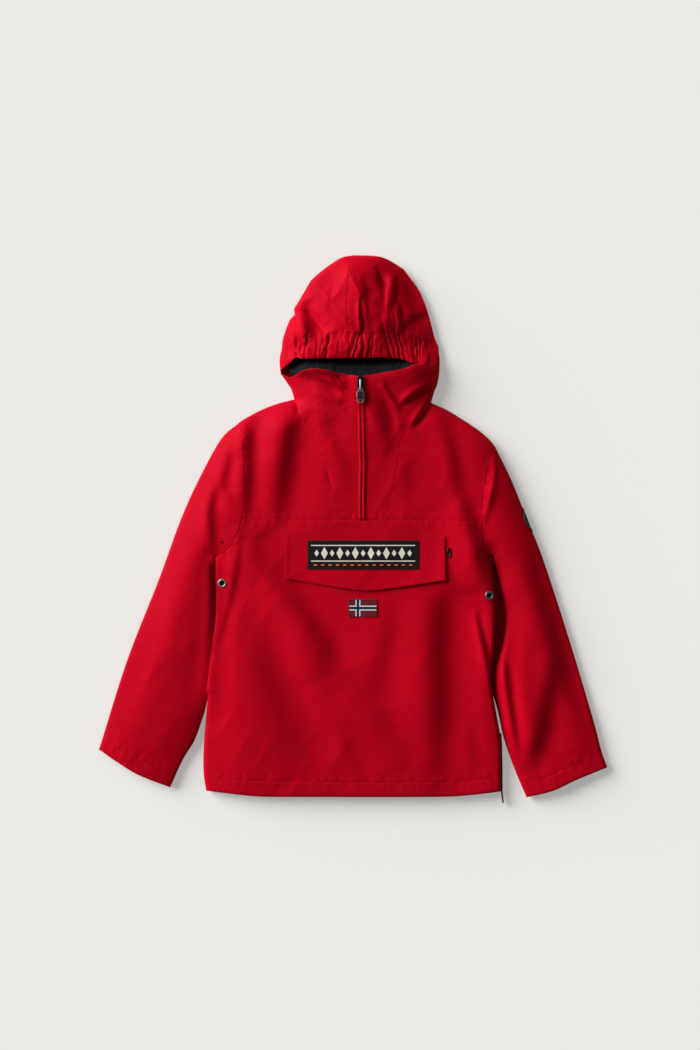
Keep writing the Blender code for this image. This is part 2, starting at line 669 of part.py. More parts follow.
# ==================================================================== the cloth
def seam_points():
    """The points that neighbouring pieces share along their seams."""
    seams = {}
    for side, hole, torso in (("left", ARMHOLE_LEFT, TORSO_LEFT),
                              ("right", ARMHOLE_RIGHT, TORSO_RIGHT)):
        height = YOKE_SEAM_Y[0] if side == "left" else YOKE_SEAM_Y[3]
        high, low = split_at_height(smooth_line(hole), height)
        seams["armhole high " + side] = along(high, spread(ARMHOLE_UPPER_CELLS, start=True))
        seams["armhole low " + side] = along(low, spread(ARMHOLE_LOWER_CELLS, end=True))
        seams["torso " + side] = along(smooth_line(torso), spread(TORSO_CELLS, start=True))
    left, right = seams["armhole high left"][-1], seams["armhole high right"][-1]
    neck_left = np.array([NECK_SEAM_LEFT[0][0], YOKE_SEAM_Y[1]], dtype=float)
    neck_right = np.array([NECK_SEAM_RIGHT[0][0], YOKE_SEAM_Y[2]], dtype=float)
    zip_foot = np.array(ZIP_LINE[0], dtype=float)
    stations = (("yoke left", left, neck_left, YOKE_SEAM_CELLS, True, False),
                ("neck left", neck_left, zip_foot, NECK_SEAM_CELLS, False, False),
                ("neck right", zip_foot, neck_right, NECK_SEAM_CELLS, False, False),
                ("yoke right", neck_right, right, YOKE_SEAM_CELLS, False, True))
    for name, start, end, cells, from_start, from_end in stations:
        share = spread(cells, from_start, from_end)[:, None]
        seams["foot " + name] = (1 - share) * start + share * end
    seams["neck seam left"] = along(smooth_line(NECK_SEAM_LEFT), spread(NECK_CELLS, end=True))
    seams["neck seam right"] = along(smooth_line(NECK_SEAM_RIGHT), spread(NECK_CELLS, end=True))
    return seams


def build_body(seams):
    half = SEAM_GAP / 2
    top = chain(*(seams["foot " + name] for name in
                  ("yoke left", "neck left", "neck right", "yoke right")))
    sides = [chain(seams["torso " + side], seams["armhole low " + side][::-1])
             for side in ("left", "right")]
    hem = along(smooth_line(HEM), shares_of(top))
    front = draw_in(fill(hem, top, *sides), left=half, right=half, top=half)
    pieces = {"front_lower": panel("front_lower", front, upper)}

    sides = [chain(seams["torso " + side],
                   seams["armhole low " + side][::-1], seams["armhole high " + side][::-1])
             for side in ("left", "right")]
    shoulders = [along(smooth_line(line), spread(SHOULDER_CELLS, start=True))
                 for line in (SHOULDER_LEFT, SHOULDER_RIGHT)]
    neck = along(smooth_line(NECK_BACK), np.linspace(0, 1, NECK_BACK_CELLS + 1))
    top = chain(shoulders[0], neck, shoulders[1][::-1])
    hem = along(smooth_line(HEM), shares_of(top))
    back = draw_in(fill(hem, top, *sides), left=half, right=half, top=half)
    pieces["back_panel"] = panel("back_panel", back, under)
    return pieces


def build_yokes(seams):
    half = SEAM_GAP / 2
    for side, shoulder, neck in (("left", SHOULDER_LEFT, NECK_SEAM_LEFT),
                                 ("right", SHOULDER_RIGHT, NECK_SEAM_RIGHT)):
        outer = seams["armhole high " + side][::-1]
        inner = along(smooth_line(neck), spread(ARMHOLE_UPPER_CELLS, end=True))
        line = smooth_line(shoulder)
        if side == "left":
            foot = seams["foot yoke left"]
            top = along(line, shares_of(foot))
            grid = fill(foot, top, outer, inner)
        else:
            foot = seams["foot yoke right"]
            top = along(line[::-1], shares_of(foot))
            grid = fill(foot, top, inner, outer)
        panel("yoke_" + side, draw_in(grid, left=half, right=half, bottom=half), upper)


def build_neck(seams):
    """The two neck panels, each cut in one with its half of the collar."""
    half = SEAM_GAP / 2
    pieces = []
    zip_line = smooth_line(ZIP_LINE)
    for side, collar, outer_side in (("left", COLLAR_LEFT, NECK_SIDE_LEFT),
                                     ("right", COLLAR_RIGHT, NECK_SIDE_RIGHT)):
        free = along(smooth_line(outer_side), spread(NECK_SIDE_CELLS, end=True))
        outer = chain(seams["neck seam " + side], free)
        middle = along(zip_line, shares_of(outer))
        foot = seams["foot neck " + side]
        if side == "left":
            top = along(smooth_line(collar), spread(NECK_SEAM_CELLS, start=True))
            grid = fill(foot, top, outer, middle)
            grid = draw_in(grid, left=half, right=ZIP_HALF_GAP, bottom=half, top=half)
        else:
            top = along(smooth_line(collar), spread(NECK_SEAM_CELLS, end=True))
            grid = fill(foot, top, middle, outer)
            grid = draw_in(grid, left=ZIP_HALF_GAP, right=half, bottom=half, top=half)
        pieces.append(panel("neck_panel_" + side, grid, upper))
    return pieces


def build_sleeves(seams):
    """Both sleeves, each in a front and a back, parted again at the elbow."""
    half = SEAM_GAP / 2
    pieces = {}
    for side, outer, inner, cuff in (
            ("left", SLEEVE_OUT_LEFT, SLEEVE_IN_LEFT, CUFF_LEFT),
            ("right", SLEEVE_OUT_RIGHT, SLEEVE_IN_RIGHT, CUFF_RIGHT)):
        hole = chain(seams["armhole high " + side], seams["armhole low " + side])
        fold = along(smooth_line(inner), spread(SLEEVE_CELLS, end=True))
        cap = along(hole[:2], np.linspace(0, 1, SLEEVE_ROUND + 1))
        across = spread(SLEEVE_ROUND, start=True, end=True)
        right = chain(hole[1:], fold)
        left = along(smooth_line(outer), shares_of(right))
        grid = fill(cap, along(smooth_line(cuff), across), left, right)
        cap_rows = len(hole) - 2
        seam = draw_in(grid, right=half, bottom=SEAM_GAP)
        grid[0] = seam[0]
        grid[:cap_rows + 1, -1] = seam[:cap_rows + 1, -1]
        elbow = cap_rows + ELBOW_CELL
        arm = draw_in(grid[:elbow + 1], top=half)
        forearm = draw_in(grid[elbow:], bottom=half)
        name = "sleeve_" + side
        pieces[side] = (panel(name, arm, upper), panel(name + "_back", arm, under))
        panel(name + "_lower", forearm, upper)
        panel(name + "_lower_back", forearm, under)
    return pieces


def brim_wave(points):
    """Gathers of the brim: full at its edge, slight at its stitch line."""
    foot = np.interp(points[:, 0], [p[0] for p in BRIM_EDGE], [p[1] for p in BRIM_EDGE])
    head = np.interp(points[:, 0], [-107, -73, 67, 127], [268, 284, 290, 274])
    share = np.clip((head - points[:, 1]) / np.maximum(head - foot, 1), 0, 1)
    return gather_share(points) * (0.35 + 0.65 * share)


def build_hood():
    half = SEAM_GAP / 2
    centre = along(smooth_line(HOOD_CENTRE), spread(HOOD_CELLS, end=True))
    for side, seam, edge, top in (
            ("left", BRIM_SEAM_LEFT, HOOD_SIDE_LEFT, HOOD_TOP_LEFT),
            ("right", BRIM_SEAM_RIGHT, HOOD_SIDE_RIGHT, HOOD_TOP_RIGHT)):
        if side == "left":
            steps = spread(HOOD_CELLS, start=True)
            free = along(smooth_line(edge), spread(HOOD_CELLS, end=True))
            foot = along(smooth_line(seam), steps)
            brim_seam = foot
            grid = fill(foot, along(smooth_line(top), steps), free, centre)
            grid = draw_in(grid, right=half, bottom=half)
        else:
            steps = spread(HOOD_CELLS, end=True)
            free = along(smooth_line(edge)[::-1], spread(HOOD_CELLS, end=True))
            foot = along(smooth_line(seam), steps)
            brim_seam = chain(brim_seam, foot)
            grid = fill(foot, along(smooth_line(top), steps), centre, free)
            grid = draw_in(grid, left=half, bottom=half)
        panel("hood_" + side, grid, upper)

    even = np.linspace(0, 1, BRIM_CELLS + 1)
    rows = np.linspace(0, 1, BRIM_ROWS + 1)
    grid = fill(along(smooth_line(BRIM_EDGE), even), along(brim_seam, even),
                along(smooth_line(BRIM_END_LEFT), rows), along(smooth_line(BRIM_END_RIGHT), rows))
    panel("hood_brim", draw_in(grid, bottom=half, top=BRIM_ROOM), upper, extra=brim_wave)

    left = chain(smooth_line(NECK_SIDE_LEFT), smooth_line(BRIM_END_LEFT),
                 smooth_line(HOOD_SIDE_LEFT))
    right = chain(smooth_line(NECK_SIDE_RIGHT), smooth_line(BRIM_END_RIGHT),
                  smooth_line(HOOD_SIDE_RIGHT)[::-1])
    top = chain(smooth_line(HOOD_TOP_LEFT), smooth_line(HOOD_TOP_RIGHT))
    steps = spread(HOOD_BACK_ROWS, end=True)
    across = np.linspace(0, 1, NECK_BACK_CELLS + 1)
    grid = fill(along(smooth_line(NECK_BACK), across), along(top, across),
                along(left, steps), along(right, steps))
    grid = draw_in(grid, bottom=half)
    return panel("hood_back", grid, under)


def build_lining(hood_back):
    """The fleece that shows in the face opening, lying on the hood's back."""
    cols, rows = LINING_CELLS
    sides = [chain(smooth_line(neck), smooth_line(brim), smooth_line(hood))
             for neck, brim, hood in (
                 (NECK_SIDE_LEFT, BRIM_END_LEFT, HOOD_SIDE_LEFT),
                 (NECK_SIDE_RIGHT, BRIM_END_RIGHT, HOOD_SIDE_RIGHT[::-1]))]
    height = np.linspace(*LINING_ROWS, rows + 1)
    left, right = (np.interp(height, side[:, 1], side[:, 0]) for side in sides)
    left = (left + LINING_EDGE)[:, None]
    right = (right - LINING_EDGE)[:, None]
    share = spread(cols, start=True, end=True)[None, :]
    wide = left + (right - left) * share
    grid = np.stack([wide, np.repeat(height[:, None], cols + 1, axis=1)], axis=2)
    roll = np.exp(-((grid[:, :, 1] - LINING_ROLL_Y) / LINING_ROLL_WIDTH) ** 2)
    ends = np.clip(np.minimum(wide - left, right - wide) / LINING_END, 0, 1)
    lift = LINING_ROLL * roll * ends
    return laid_on("hood_lining", grid, [hood_back], LINING_THICKNESS, "lining fleece", lift)


# ================================================================ the trimming
def build_flap(front):
    halves = np.linspace(0, 1, FLAP_CELLS + 1)
    bottom = chain(along(np.array(FLAP_POINT[:2], dtype=float), halves),
                   along(np.array(FLAP_POINT[1:], dtype=float), halves))
    top = along(np.array(FLAP_TOP, dtype=float), shares_of(bottom))
    rows = np.linspace(0, 1, FLAP_SIDES + 1)
    left = along(np.array([FLAP_POINT[0], FLAP_TOP[0]], dtype=float), rows)
    right = along(np.array([FLAP_POINT[-1], FLAP_TOP[1]], dtype=float), rows)
    grid = fill(bottom, top, left, right)
    down = (1 - rows)[:, None]
    across = shares_of(bottom)[None, :]
    lift = FLAP_LIFT * down ** 2 + FLAP_CORNER_LIFT * down * across ** 4
    return laid_on("pocket_flap", grid, [front], FLAP_THICKNESS, "shell fabric", lift)


def build_patches(front, flap):
    laid_on("label_patch", rectangle(*LABEL_BOX, 8, 3), [flap], PATCH_THICKNESS, "label cloth")
    laid_on("flag_patch", rectangle(*FLAG_BOX, 4, 3), [front], PATCH_THICKNESS, "flag cloth")


def build_eyelets(front):
    """Two metal rings set in the front, near the side edges."""
    section = ((EYELET_INNER, 0.0), (EYELET_INNER, 0.7), (4.6, EYELET_HEIGHT),
               (5.8, EYELET_HEIGHT), (EYELET_OUTER, 0.6), (EYELET_OUTER, 0.0))
    tree = tree_of(front)
    for name, (x, y) in EYELETS.items():
        hit, normal, _, _ = tree.ray_cast(Vector((x * MM, y * MM, SKY)), Vector((0, 0, -1)))
        along_y = Vector((0, 1, 0)) - normal * normal.y
        along_y.normalize()
        along_x = along_y.cross(normal)
        rise = SEAM_GAP
        while True:
            points = []
            for step in range(RING_AROUND):
                turn = 2 * math.pi * step / RING_AROUND
                way = math.cos(turn) * along_x + math.sin(turn) * along_y
                for radius, height in section:
                    flat = hit + MM * radius * way
                    base, _, _, _ = tree.ray_cast(Vector((flat.x, flat.y, SKY)),
                                                  Vector((0, 0, -1)))
                    points.append(base + MM * (height + rise) * normal)
            faces = ring_faces(RING_AROUND, len(section))
            if not BVHTree.FromPolygons(points, faces).overlap(tree):
                break
            rise += EVERY
        add_object(name, [point / MM for point in points], faces, "gunmetal")


def ring_faces(around, count):
    """Faces of a section carried round a closed loop."""
    faces = []
    for step in range(around):
        after = (step + 1) % around
        for corner in range(count):
            turn = (corner + 1) % count
            faces.append((step * count + corner, step * count + turn,
                          after * count + turn, after * count + corner))
    return faces


def build_badge(halves):
    """A round badge wrapped over the sleeve's outer fold."""
    rings, around = BADGE_RINGS, BADGE_AROUND
    over, beyond = BADGE_SECTION
    line = smooth_line(SLEEVE_OUT_RIGHT)
    start = BADGE_CENTRE
    tangent = along(line, [BADGE_PLACE + 0.01])[0] - start
    tangent /= np.linalg.norm(tangent)
    inward = np.array([tangent[1], -tangent[0]])
    section = np.concatenate([np.linspace(over, 0, BADGE_STEPS),
                              np.linspace(0, beyond, BADGE_STEPS)[1:]])
    places = []
    for index, gap in enumerate(section):
        spot = (start + max(gap, 0.01) * inward)[None]
        side = upper if index < BADGE_STEPS else under
        places.append(side(spot)[0][0])
    places = np.array(places)
    places[BADGE_STEPS - 1, 2] = FOLD_HEIGHT
    steps = np.linalg.norm(np.diff(places, axis=0), axis=1)
    length = np.concatenate([[0.0], np.cumsum(steps)]) - steps[:BADGE_STEPS - 1].sum()

    def spot_at(run, down):
        """Place and direction at a distance along the edge and down round the fold."""
        gap = np.interp(down, length, section)
        height = np.interp(down, length, places[:, 2])
        ahead = np.interp(down + 0.5, length, section) - np.interp(down - 0.5, length, section)
        drop = np.interp(down + 0.5, length, places[:, 2]) \
            - np.interp(down - 0.5, length, places[:, 2])
        bend = np.array([ahead * inward[0], ahead * inward[1], drop])
        normal = np.cross(bend, np.array([tangent[0], tangent[1], 0.0]))
        normal /= np.linalg.norm(normal)
        edge = along(line, [BADGE_PLACE + run / LINE_LENGTH])[0]
        flat = edge + gap * inward
        return np.array([flat[0], flat[1], height]), normal

    centre = BADGE_RADIUS - BADGE_SHOWN
    spots, normals = [], []
    for ring in range(1, rings + 1):
        for step in range(around):
            turn = 2 * math.pi * step / around
            radius = BADGE_RADIUS * ring / rings
            spot, normal = spot_at(radius * math.cos(turn), centre + radius * math.sin(turn))
            spots.append(spot)
            normals.append(normal)
    spot, normal = spot_at(0.0, centre)
    spots.append(spot)
    normals.append(normal)
    spots, normals = np.array(spots), np.array(normals)
    count = len(spots)
    faces = []
    for step in range(around):
        after = (step + 1) % around
        faces.append((count - 1, step, after))
        for ring in range(rings - 1):
            a, b = ring * around + step, ring * around + after
            faces.append((a, a + around, b + around, b))
    skin = list(faces)
    faces += [tuple(count + index for index in face[::-1]) for face in skin]
    rim = (rings - 1) * around
    for step in range(around):
        after = (step + 1) % around
        faces.append((rim + after, rim + step, count + rim + step, count + rim + after))
    distance = SEAM_GAP
    tree = tree_of(*halves)
    while True:
        low = spots + distance * normals
        points = np.vstack([low + PATCH_THICKNESS * normals, low])
        if not touches(points, faces, tree):
            break
        distance += EVERY
    add_object("sleeve_badge", points, faces, "label cloth")


def build_zip(necks):
    """The covered front zip: two piped lips over the tape below the panels."""
    tree = tree_of(*necks)
    line = smooth_line(ZIP_LINE)
    top = np.array(ZIP_LINE[-1])
    reach = AXIS_Y - SLIDER_FRONT - SEAM_GAP
    start_y = YOKE_SEAM_Y[1] + 1.0
    rows = []
    for y in np.linspace(start_y, reach, ZIP_ROWS):
        x = np.interp(y, line[:, 1], line[:, 0])
        rows.append((x, y))
    bevel = 0.8
    for side, sign in (("left", -1), ("right", 1)):
        section = ((LIP_SLOT, 0.0), (LIP_SLOT, LIP_HEIGHT - bevel),
                   (LIP_SLOT + bevel, LIP_HEIGHT), (LIP_WIDTH - bevel, LIP_HEIGHT),
                   (LIP_WIDTH, LIP_HEIGHT - bevel), (LIP_WIDTH, 0.0))
        rise = SEAM_GAP
        while True:
            points = []
            for x, y in rows:
                base = rest_height(tree, x + sign * (ZIP_HALF_GAP + PROBE_IN), y)
                far = rest_height(tree, x + sign * LIP_WIDTH, y)
                for out, height in section:
                    share = (out - ZIP_HALF_GAP) / (LIP_WIDTH - ZIP_HALF_GAP)
                    level = base + max(share, 0) * (far - base)
                    points.append((x + sign * out, y, level + height + rise))
            faces = strip_faces(len(rows), len(section))
            if not touches(points, faces, tree):
                break
            rise += EVERY
        add_object("zip_lip_" + side, points, faces, "shell fabric")
    build_tape(line, tree, top)


def rest_height(tree, x, y):
    """Height of the upper side of the pieces in a tree, in mm."""
    hit, _, _, _ = tree.ray_cast(Vector((x * MM, y * MM, SKY)), Vector((0, 0, -1)))
    return hit.z / MM


def strip_faces(rows, count):
    """Faces of a section carried along a line, with closed ends."""
    faces = [list(range(count)), list(range((rows - 1) * count, rows * count))[::-1]]
    for row in range(rows - 1):
        for corner in range(count):
            after = (corner + 1) % count
            faces.append([row * count + corner, (row + 1) * count + corner,
                          (row + 1) * count + after, row * count + after])
    return faces


def build_tape(line, tree, top):
    """The zip's tape, under the panels' edges."""
    distance = CLOTH + SEAM_GAP
    shares = (-1, -0.5, 0, 0.5, 1)
    while True:
        rows = []
        for y in np.linspace(YOKE_SEAM_Y[1] + 2.0, top[1] - 1.5, ZIP_ROWS):
            x = np.interp(y, line[:, 1], line[:, 0])
            near = [rest_height(tree, x + sign * (ZIP_HALF_GAP + PROBE_IN), y) for sign in (-1, 1)]
            far = [rest_height(tree, x + sign * TAPE_WIDTH / 2, y) for sign in (-1, 1)]
            levels = np.interp(shares, (-1, -0.2, 0.2, 1), (far[0], near[0], near[1], far[1]))
            rows.append([(x + share * TAPE_WIDTH / 2, y, level - distance)
                         for share, level in zip(shares, levels)])
        high = np.array(rows)
        low = high - np.array([0, 0, TAPE_THICKNESS])
        points, faces = wall(high, low)
        if not touches(points, faces, tree):
            break
        distance += EVERY
    add_object("zip_tape", points, faces, "zip tape")


def slider_frame(necks):
    """Place and tilt of the hinge axis over the cloth."""
    tree = tree_of(*necks)
    foot = AXIS_X + SLIDER_FEET[1]
    low = rest_height(tree, foot, AXIS_Y - SLIDER_FRONT)
    high = rest_height(tree, foot, AXIS_Y + SLIDER_BACK - 4)
    tilt = math.atan2(high - low, SLIDER_BACK - 4 + SLIDER_FRONT)
    lift = -1e9
    for x in SLIDER_FEET:
        for y in np.linspace(-SLIDER_FRONT, SLIDER_BACK - 1.5, SLIDER_ROWS):
            level = rest_height(tree, AXIS_X + x, AXIS_Y + y * math.cos(tilt))
            lift = max(lift, level - y * math.sin(tilt))
    return Vector((AXIS_X, AXIS_Y, lift + AXIS_RISE + SEAM_GAP)), tilt


def placed(points, origin, tilt):
    """Slider coordinates carried to their place on the garment."""
    turned = []
    for x, y, z in points:
        turned.append((origin.x + x,
                       origin.y + y * math.cos(tilt) - z * math.sin(tilt),
                       origin.z + y * math.sin(tilt) + z * math.cos(tilt)))
    return turned


def build_slider(origin, tilt):
    low, high = SLIDER_BODY
    half = SLIDER_WIDTH / 2
    nose = SLIDER_NOSE
    body = ([(-half, -SLIDER_FRONT), (half, -SLIDER_FRONT)]
            + arc((half - nose, SLIDER_BACK - nose), nose, 0, 90, 4)
            + arc((-half + nose, SLIDER_BACK - nose), nose, 90, 180, 4))
    points, faces = prism(body, low, high, "z")
    slider = add_object("zip_slider", placed(points, origin, tilt), faces, "gunmetal")
    foot = high - HOOP_SUNK
    end = HOOP_HALF_LENGTH
    inside = end - HOOP_LEG
    outer = [(-end, foot), (-end, HOOP_TOP - HOOP_CORNER), (-end + HOOP_CORNER, HOOP_TOP),
             (end - HOOP_CORNER, HOOP_TOP), (end, HOOP_TOP - HOOP_CORNER), (end, foot)]
    inner = [(inside, foot), (inside, HOOP_BAR), (-inside, HOOP_BAR), (-inside, foot)]
    points, faces = prism(outer + inner, -HOOP_WIDTH / 2, HOOP_WIDTH / 2, "x")
    hoop = add_object("slider_hoop", placed(points, origin, tilt), faces, "gunmetal")
    join(slider, hoop)


def build_pull(origin, tilt):
    """The pull tab: a slotted plate whose round cross bar runs under the hoop."""
    half = PULL_WIDTH / 2
    neck = PULL_NECK
    start, end = PULL_FLARE
    thick = PULL_THICKNESS / 2
    top = -0.2
    bend = PULL_CORNER
    plate = ([(-neck, top), (-neck, start), (-half, end)]
             + arc((-half + bend, -PULL_LENGTH + bend), bend, 180, 270, 4)
             + arc((half - bend, -PULL_LENGTH + bend), bend, 270, 360, 4)
             + [(half, end), (neck, start), (neck, top)])
    points, faces = prism(plate, -thick, thick, "z")
    pull = add_object("zip_pull", placed(points, origin, tilt), faces, "gunmetal")
    pin = arc((0, 0), BAR_RADIUS, 0, 330, 12)
    slot = PULL_SLOT_WIDTH / 2
    hole = [(-slot, 0.6), (-slot, -PULL_SLOT_END), (slot, -PULL_SLOT_END), (slot, 0.6)]
    points, faces = prism(hole, -3, 3, "z")
    cutter = add_object("pull_slot", placed(points, origin, tilt), faces, "gunmetal")
    cut(pull, cutter)
    points, faces = prism(pin, -neck + 0.02, neck - 0.02, "x")
    bar = add_object("pull_bar", placed(points, origin, tilt), faces, "gunmetal")
    join(pull, bar)


def build_pocket_pull(front, flap):
    """The metal loop at the end of the pocket's zip, beside the flap."""
    tree = tree_of(front, flap)
    x, y = POCKET_PULL
    wide, tall = LOOP_HALF
    rest = max(rest_height(tree, x + dx, y + dy)
               for dx in (-wide, 0, wide) for dy in (-tall, 0, tall))
    section = ((LOOP_WIRE, 0.0), (0.0, LOOP_WIRE), (-LOOP_WIRE, 0.0), (0.0, -LOOP_WIRE))
    rise = SEAM_GAP
    while True:
        points = []
        for step in range(LOOP_AROUND):
            turn = 2 * math.pi * step / LOOP_AROUND
            for out, up in section:
                points.append((x + (wide + out) * math.cos(turn),
                               y + (tall + out) * math.sin(turn),
                               rest + LOOP_WIRE + rise + up))
        faces = ring_faces(LOOP_AROUND, len(section))
        if not touches(points, faces, tree):
            break
        rise += EVERY
    add_object("pocket_zip_pull", points, faces, "gunmetal")


def build_side_zip():
    """The side opening's zip: its edge along the right side and its free tail."""
    side = smooth_line(TORSO_RIGHT)
    low, _ = split_at_height(side, SIDE_ZIP_TOP)
    run = low[::-1]
    path = along(np.vstack([run, np.array(SIDE_ZIP_TAIL)]),
                 np.linspace(0, 1, SIDE_ZIP_CELLS + 1))
    tangent = np.gradient(path, axis=0)
    across = np.stack([-tangent[:, 1], tangent[:, 0]], axis=1)
    across /= np.linalg.norm(across, axis=1)[:, None]
    across *= np.sign(across[:, :1])
    rows_low, rows_high = [], []
    for place, way in zip(path, across):
        near = place + SEAM_GAP * way
        far = near + SIDE_ZIP_THICKNESS * way
        rows_low.append([(*near, FOLD_HEIGHT - SIDE_ZIP_HEIGHT / 2),
                         (*near, FOLD_HEIGHT + SIDE_ZIP_HEIGHT / 2)])
        rows_high.append([(*far, FOLD_HEIGHT - SIDE_ZIP_HEIGHT / 2),
                          (*far, FOLD_HEIGHT + SIDE_ZIP_HEIGHT / 2)])
    points, faces = wall(np.array(rows_high), np.array(rows_low))
    add_object("side_zip", points, faces, "zip tape")


# ======================================================================= build
for old in list(bpy.data.objects):
    bpy.data.objects.remove(old, do_unlink=True)

MATERIALS = {}
for finish_name, (colour, roughness, metallic) in FINISHES.items():
    material = bpy.data.materials.new(finish_name)
    material.use_nodes = True
    shader = material.node_tree.nodes["Principled BSDF"]
    shader.inputs["Base Color"].default_value = (*colour, 1.0)
    shader.inputs["Roughness"].default_value = roughness
    shader.inputs["Metallic"].default_value = metallic
    material.diffuse_color = (*colour, 1.0)
    MATERIALS[finish_name] = material

TOP_EDGE = chain(*(smooth_line(line) for line in (
    SLEEVE_OUT_LEFT[::-1], SHOULDER_LEFT, NECK_SIDE_LEFT, BRIM_END_LEFT, HOOD_SIDE_LEFT,
    HOOD_TOP_LEFT, HOOD_TOP_RIGHT, HOOD_SIDE_RIGHT, BRIM_END_RIGHT[::-1],
    NECK_SIDE_RIGHT[::-1], SHOULDER_RIGHT[::-1], SLEEVE_OUT_RIGHT)))
LEFT_EDGE = chain(smooth_line(SLEEVE_IN_LEFT[::-1]), smooth_line(TORSO_LEFT[::-1]))
RIGHT_EDGE = chain(smooth_line(SLEEVE_IN_RIGHT[::-1]), smooth_line(TORSO_RIGHT[::-1]))
CUFF_LINES = [smooth_line(line) for line in (CUFF_LEFT, CUFF_RIGHT)]
HEM_LINE = smooth_line(HEM)
EDGES = ([Edge(line, 0.0) for line in (TOP_EDGE, LEFT_EDGE, RIGHT_EDGE)]
         + [Edge(line, OPEN_EDGE_SHARE, OPEN_EDGE_REACH) for line in (*CUFF_LINES, HEM_LINE)])
LINE_LENGTH = np.linalg.norm(np.diff(smooth_line(SLEEVE_OUT_RIGHT), axis=0), axis=1).sum()
BADGE_CENTRE = along(smooth_line(SLEEVE_OUT_RIGHT), [BADGE_PLACE])[0]

SEAMS = seam_points()
BODY = build_body(SEAMS)
build_yokes(SEAMS)
NECKS = build_neck(SEAMS)
SLEEVES = build_sleeves(SEAMS)
HOOD_BACK = build_hood()
build_lining(HOOD_BACK)
FLAP = build_flap(BODY["front_lower"])
build_patches(BODY["front_lower"], FLAP)
build_eyelets(BODY["front_lower"])
build_badge(SLEEVES["right"])
build_zip(NECKS)
AXIS, TILT = slider_frame(NECKS)
build_slider(AXIS, TILT)
build_pull(AXIS, TILT)
build_pocket_pull(BODY["front_lower"], FLAP)
build_side_zip()
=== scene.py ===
"""The looks of a child's hooded half-zip anorak, laid flat on its back.

Tables are in millimetres, like the solids they dress, and meshes are made in
metres.  X runs across the chest, Y from the hem to the hood, Z up.  The cloth
is one height field over the laid-out outline: a crown of trapped air, a round
fall to the folded side edges, then folds, seams, gathers and crinkles.  Each
cut piece is a thin shell on that field and stands for its solid.
"""
import math

import bpy
import numpy as np
from mathutils.kdtree import KDTree
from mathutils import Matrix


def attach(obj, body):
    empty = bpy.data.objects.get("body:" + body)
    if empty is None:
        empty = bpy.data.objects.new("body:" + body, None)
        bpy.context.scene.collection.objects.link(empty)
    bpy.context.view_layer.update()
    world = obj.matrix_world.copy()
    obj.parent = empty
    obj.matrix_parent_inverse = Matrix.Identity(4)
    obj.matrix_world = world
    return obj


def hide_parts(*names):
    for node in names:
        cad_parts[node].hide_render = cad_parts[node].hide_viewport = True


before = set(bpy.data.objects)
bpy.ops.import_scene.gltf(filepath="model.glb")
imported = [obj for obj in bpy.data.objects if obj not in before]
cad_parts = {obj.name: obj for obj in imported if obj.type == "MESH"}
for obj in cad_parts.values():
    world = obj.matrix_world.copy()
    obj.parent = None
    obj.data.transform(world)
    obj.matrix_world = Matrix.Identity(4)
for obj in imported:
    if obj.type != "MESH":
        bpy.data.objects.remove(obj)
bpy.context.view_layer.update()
GARMENT, PULL = "garment", "front_zip_pull"
SIDES = ("left", "right")
SIGN = {"left": -1, "right": 1}
MM = 0.001
FAR = 1e6
TINY = 1e-9

# ------------------------------------------------------- cloth and its edges
CLOTH, PATCH_CLOTH, BADGE_CLOTH = 1.2, 0.8, 0.7  # thickness of the shells
ROLL = 1.6             # how far a free edge rounds over
ROLL_LEFT = 0.25       # share of the thickness that is left at its end
RIM_TURN = 62          # a rim sharper than this shows as an edge, in degrees
FOLD_HEIGHT = 7.5      # a folded side edge above the floor
EDGE_BLEND = 27        # places of an outline over which its profile blends
EDGE_SLACK = 0.25      # width of the flat strip at an edge
EDGE_SPACING = 1.5     # between the places that stand for a line
REACH_MOST = 112.0     # beyond this the cloth is at its full height
QUICK_REACH = 6.0      # width of the quick, round rise at a side edge
UNDER_QUICK, UNDER_REACH = 0.4, 12.0  # the same for the underside, in to where it is flat
OPEN_EDGE_SHARE = 0.68  # of the crown that is left at the hem and the cuffs
OPEN_EDGE_REACH = 26.0
SEAT_RISE = (15.0, 0.0)  # how much higher the folds lie where body and arm touch
SEAT_PLACE, SEAT_WIDE = 210.0, 24.0  # that place's distance from the middle, and its width
SEAT_LOW, SEAT_HIGH, SEAT_RAMP = -290.0, 0.0, 50.0  # its ends in y, and how they fade
TOUCH = 1.4            # how far a sleeve's edge reaches over the body's
TOUCH_TOP, TOUCH_RAMP = -46.0, 15.0  # y where that ends, and how it fades
TUCK = ((-180, -100), (3.5, 8.0))  # how far the sleeve lies lower there, by y
TUCK_REACH, TUCK_FLOOR = 8.0, 1.5
GULLY = (-138.0, 66.0, 13.0)  # y, half length and width of the dip in the right sleeve
SIDE_SEAM_STEP = 1.0   # how far the back stays inside the front at the side seams
CLUSTER, BRIM_CLUSTER, LINING_CLUSTER = 0.85, 0.3, 0.5  # how grid lines crowd to an edge

# ------------------------------------------------------------ hood and lining
HOOD_CREST = 8.0       # x of the hood's highest line
HOOD_LEAN = (0.19, 0.31)  # how steeply the hood falls left and right of it
HOOD_CREST_ROUND = 4.0
HOOD_START = (235.0, 280.0)  # y where the lean begins and where it is full
GATHER_FIELD = (150, 225, 345)  # the gathers' reach in x, and their ends in y
GATHER_RUN = (-1.5, 1.2)  # how far a gather's line runs on above and below the casing
GATHER_SHARP = 1.2
GATHER_WAVER = 1.6     # how far it strays sideways
GATHER_CELL, GATHER_SEED = 9, 61
BAND_UNEVEN = 1.3      # small unevenness of the casing between the gathers
BAND_NOISE = (9, 62, 75, 1.8)
LINING_LOW = 6.5       # fleece below the crown at the collar's edge
LINING_RUN, LINING_DROP = 22.0, 7.0  # over this run inward it drops this far
LINING_SHADE = 16.0    # and this much further at the left
LINING_WIDE = (-110, 130)
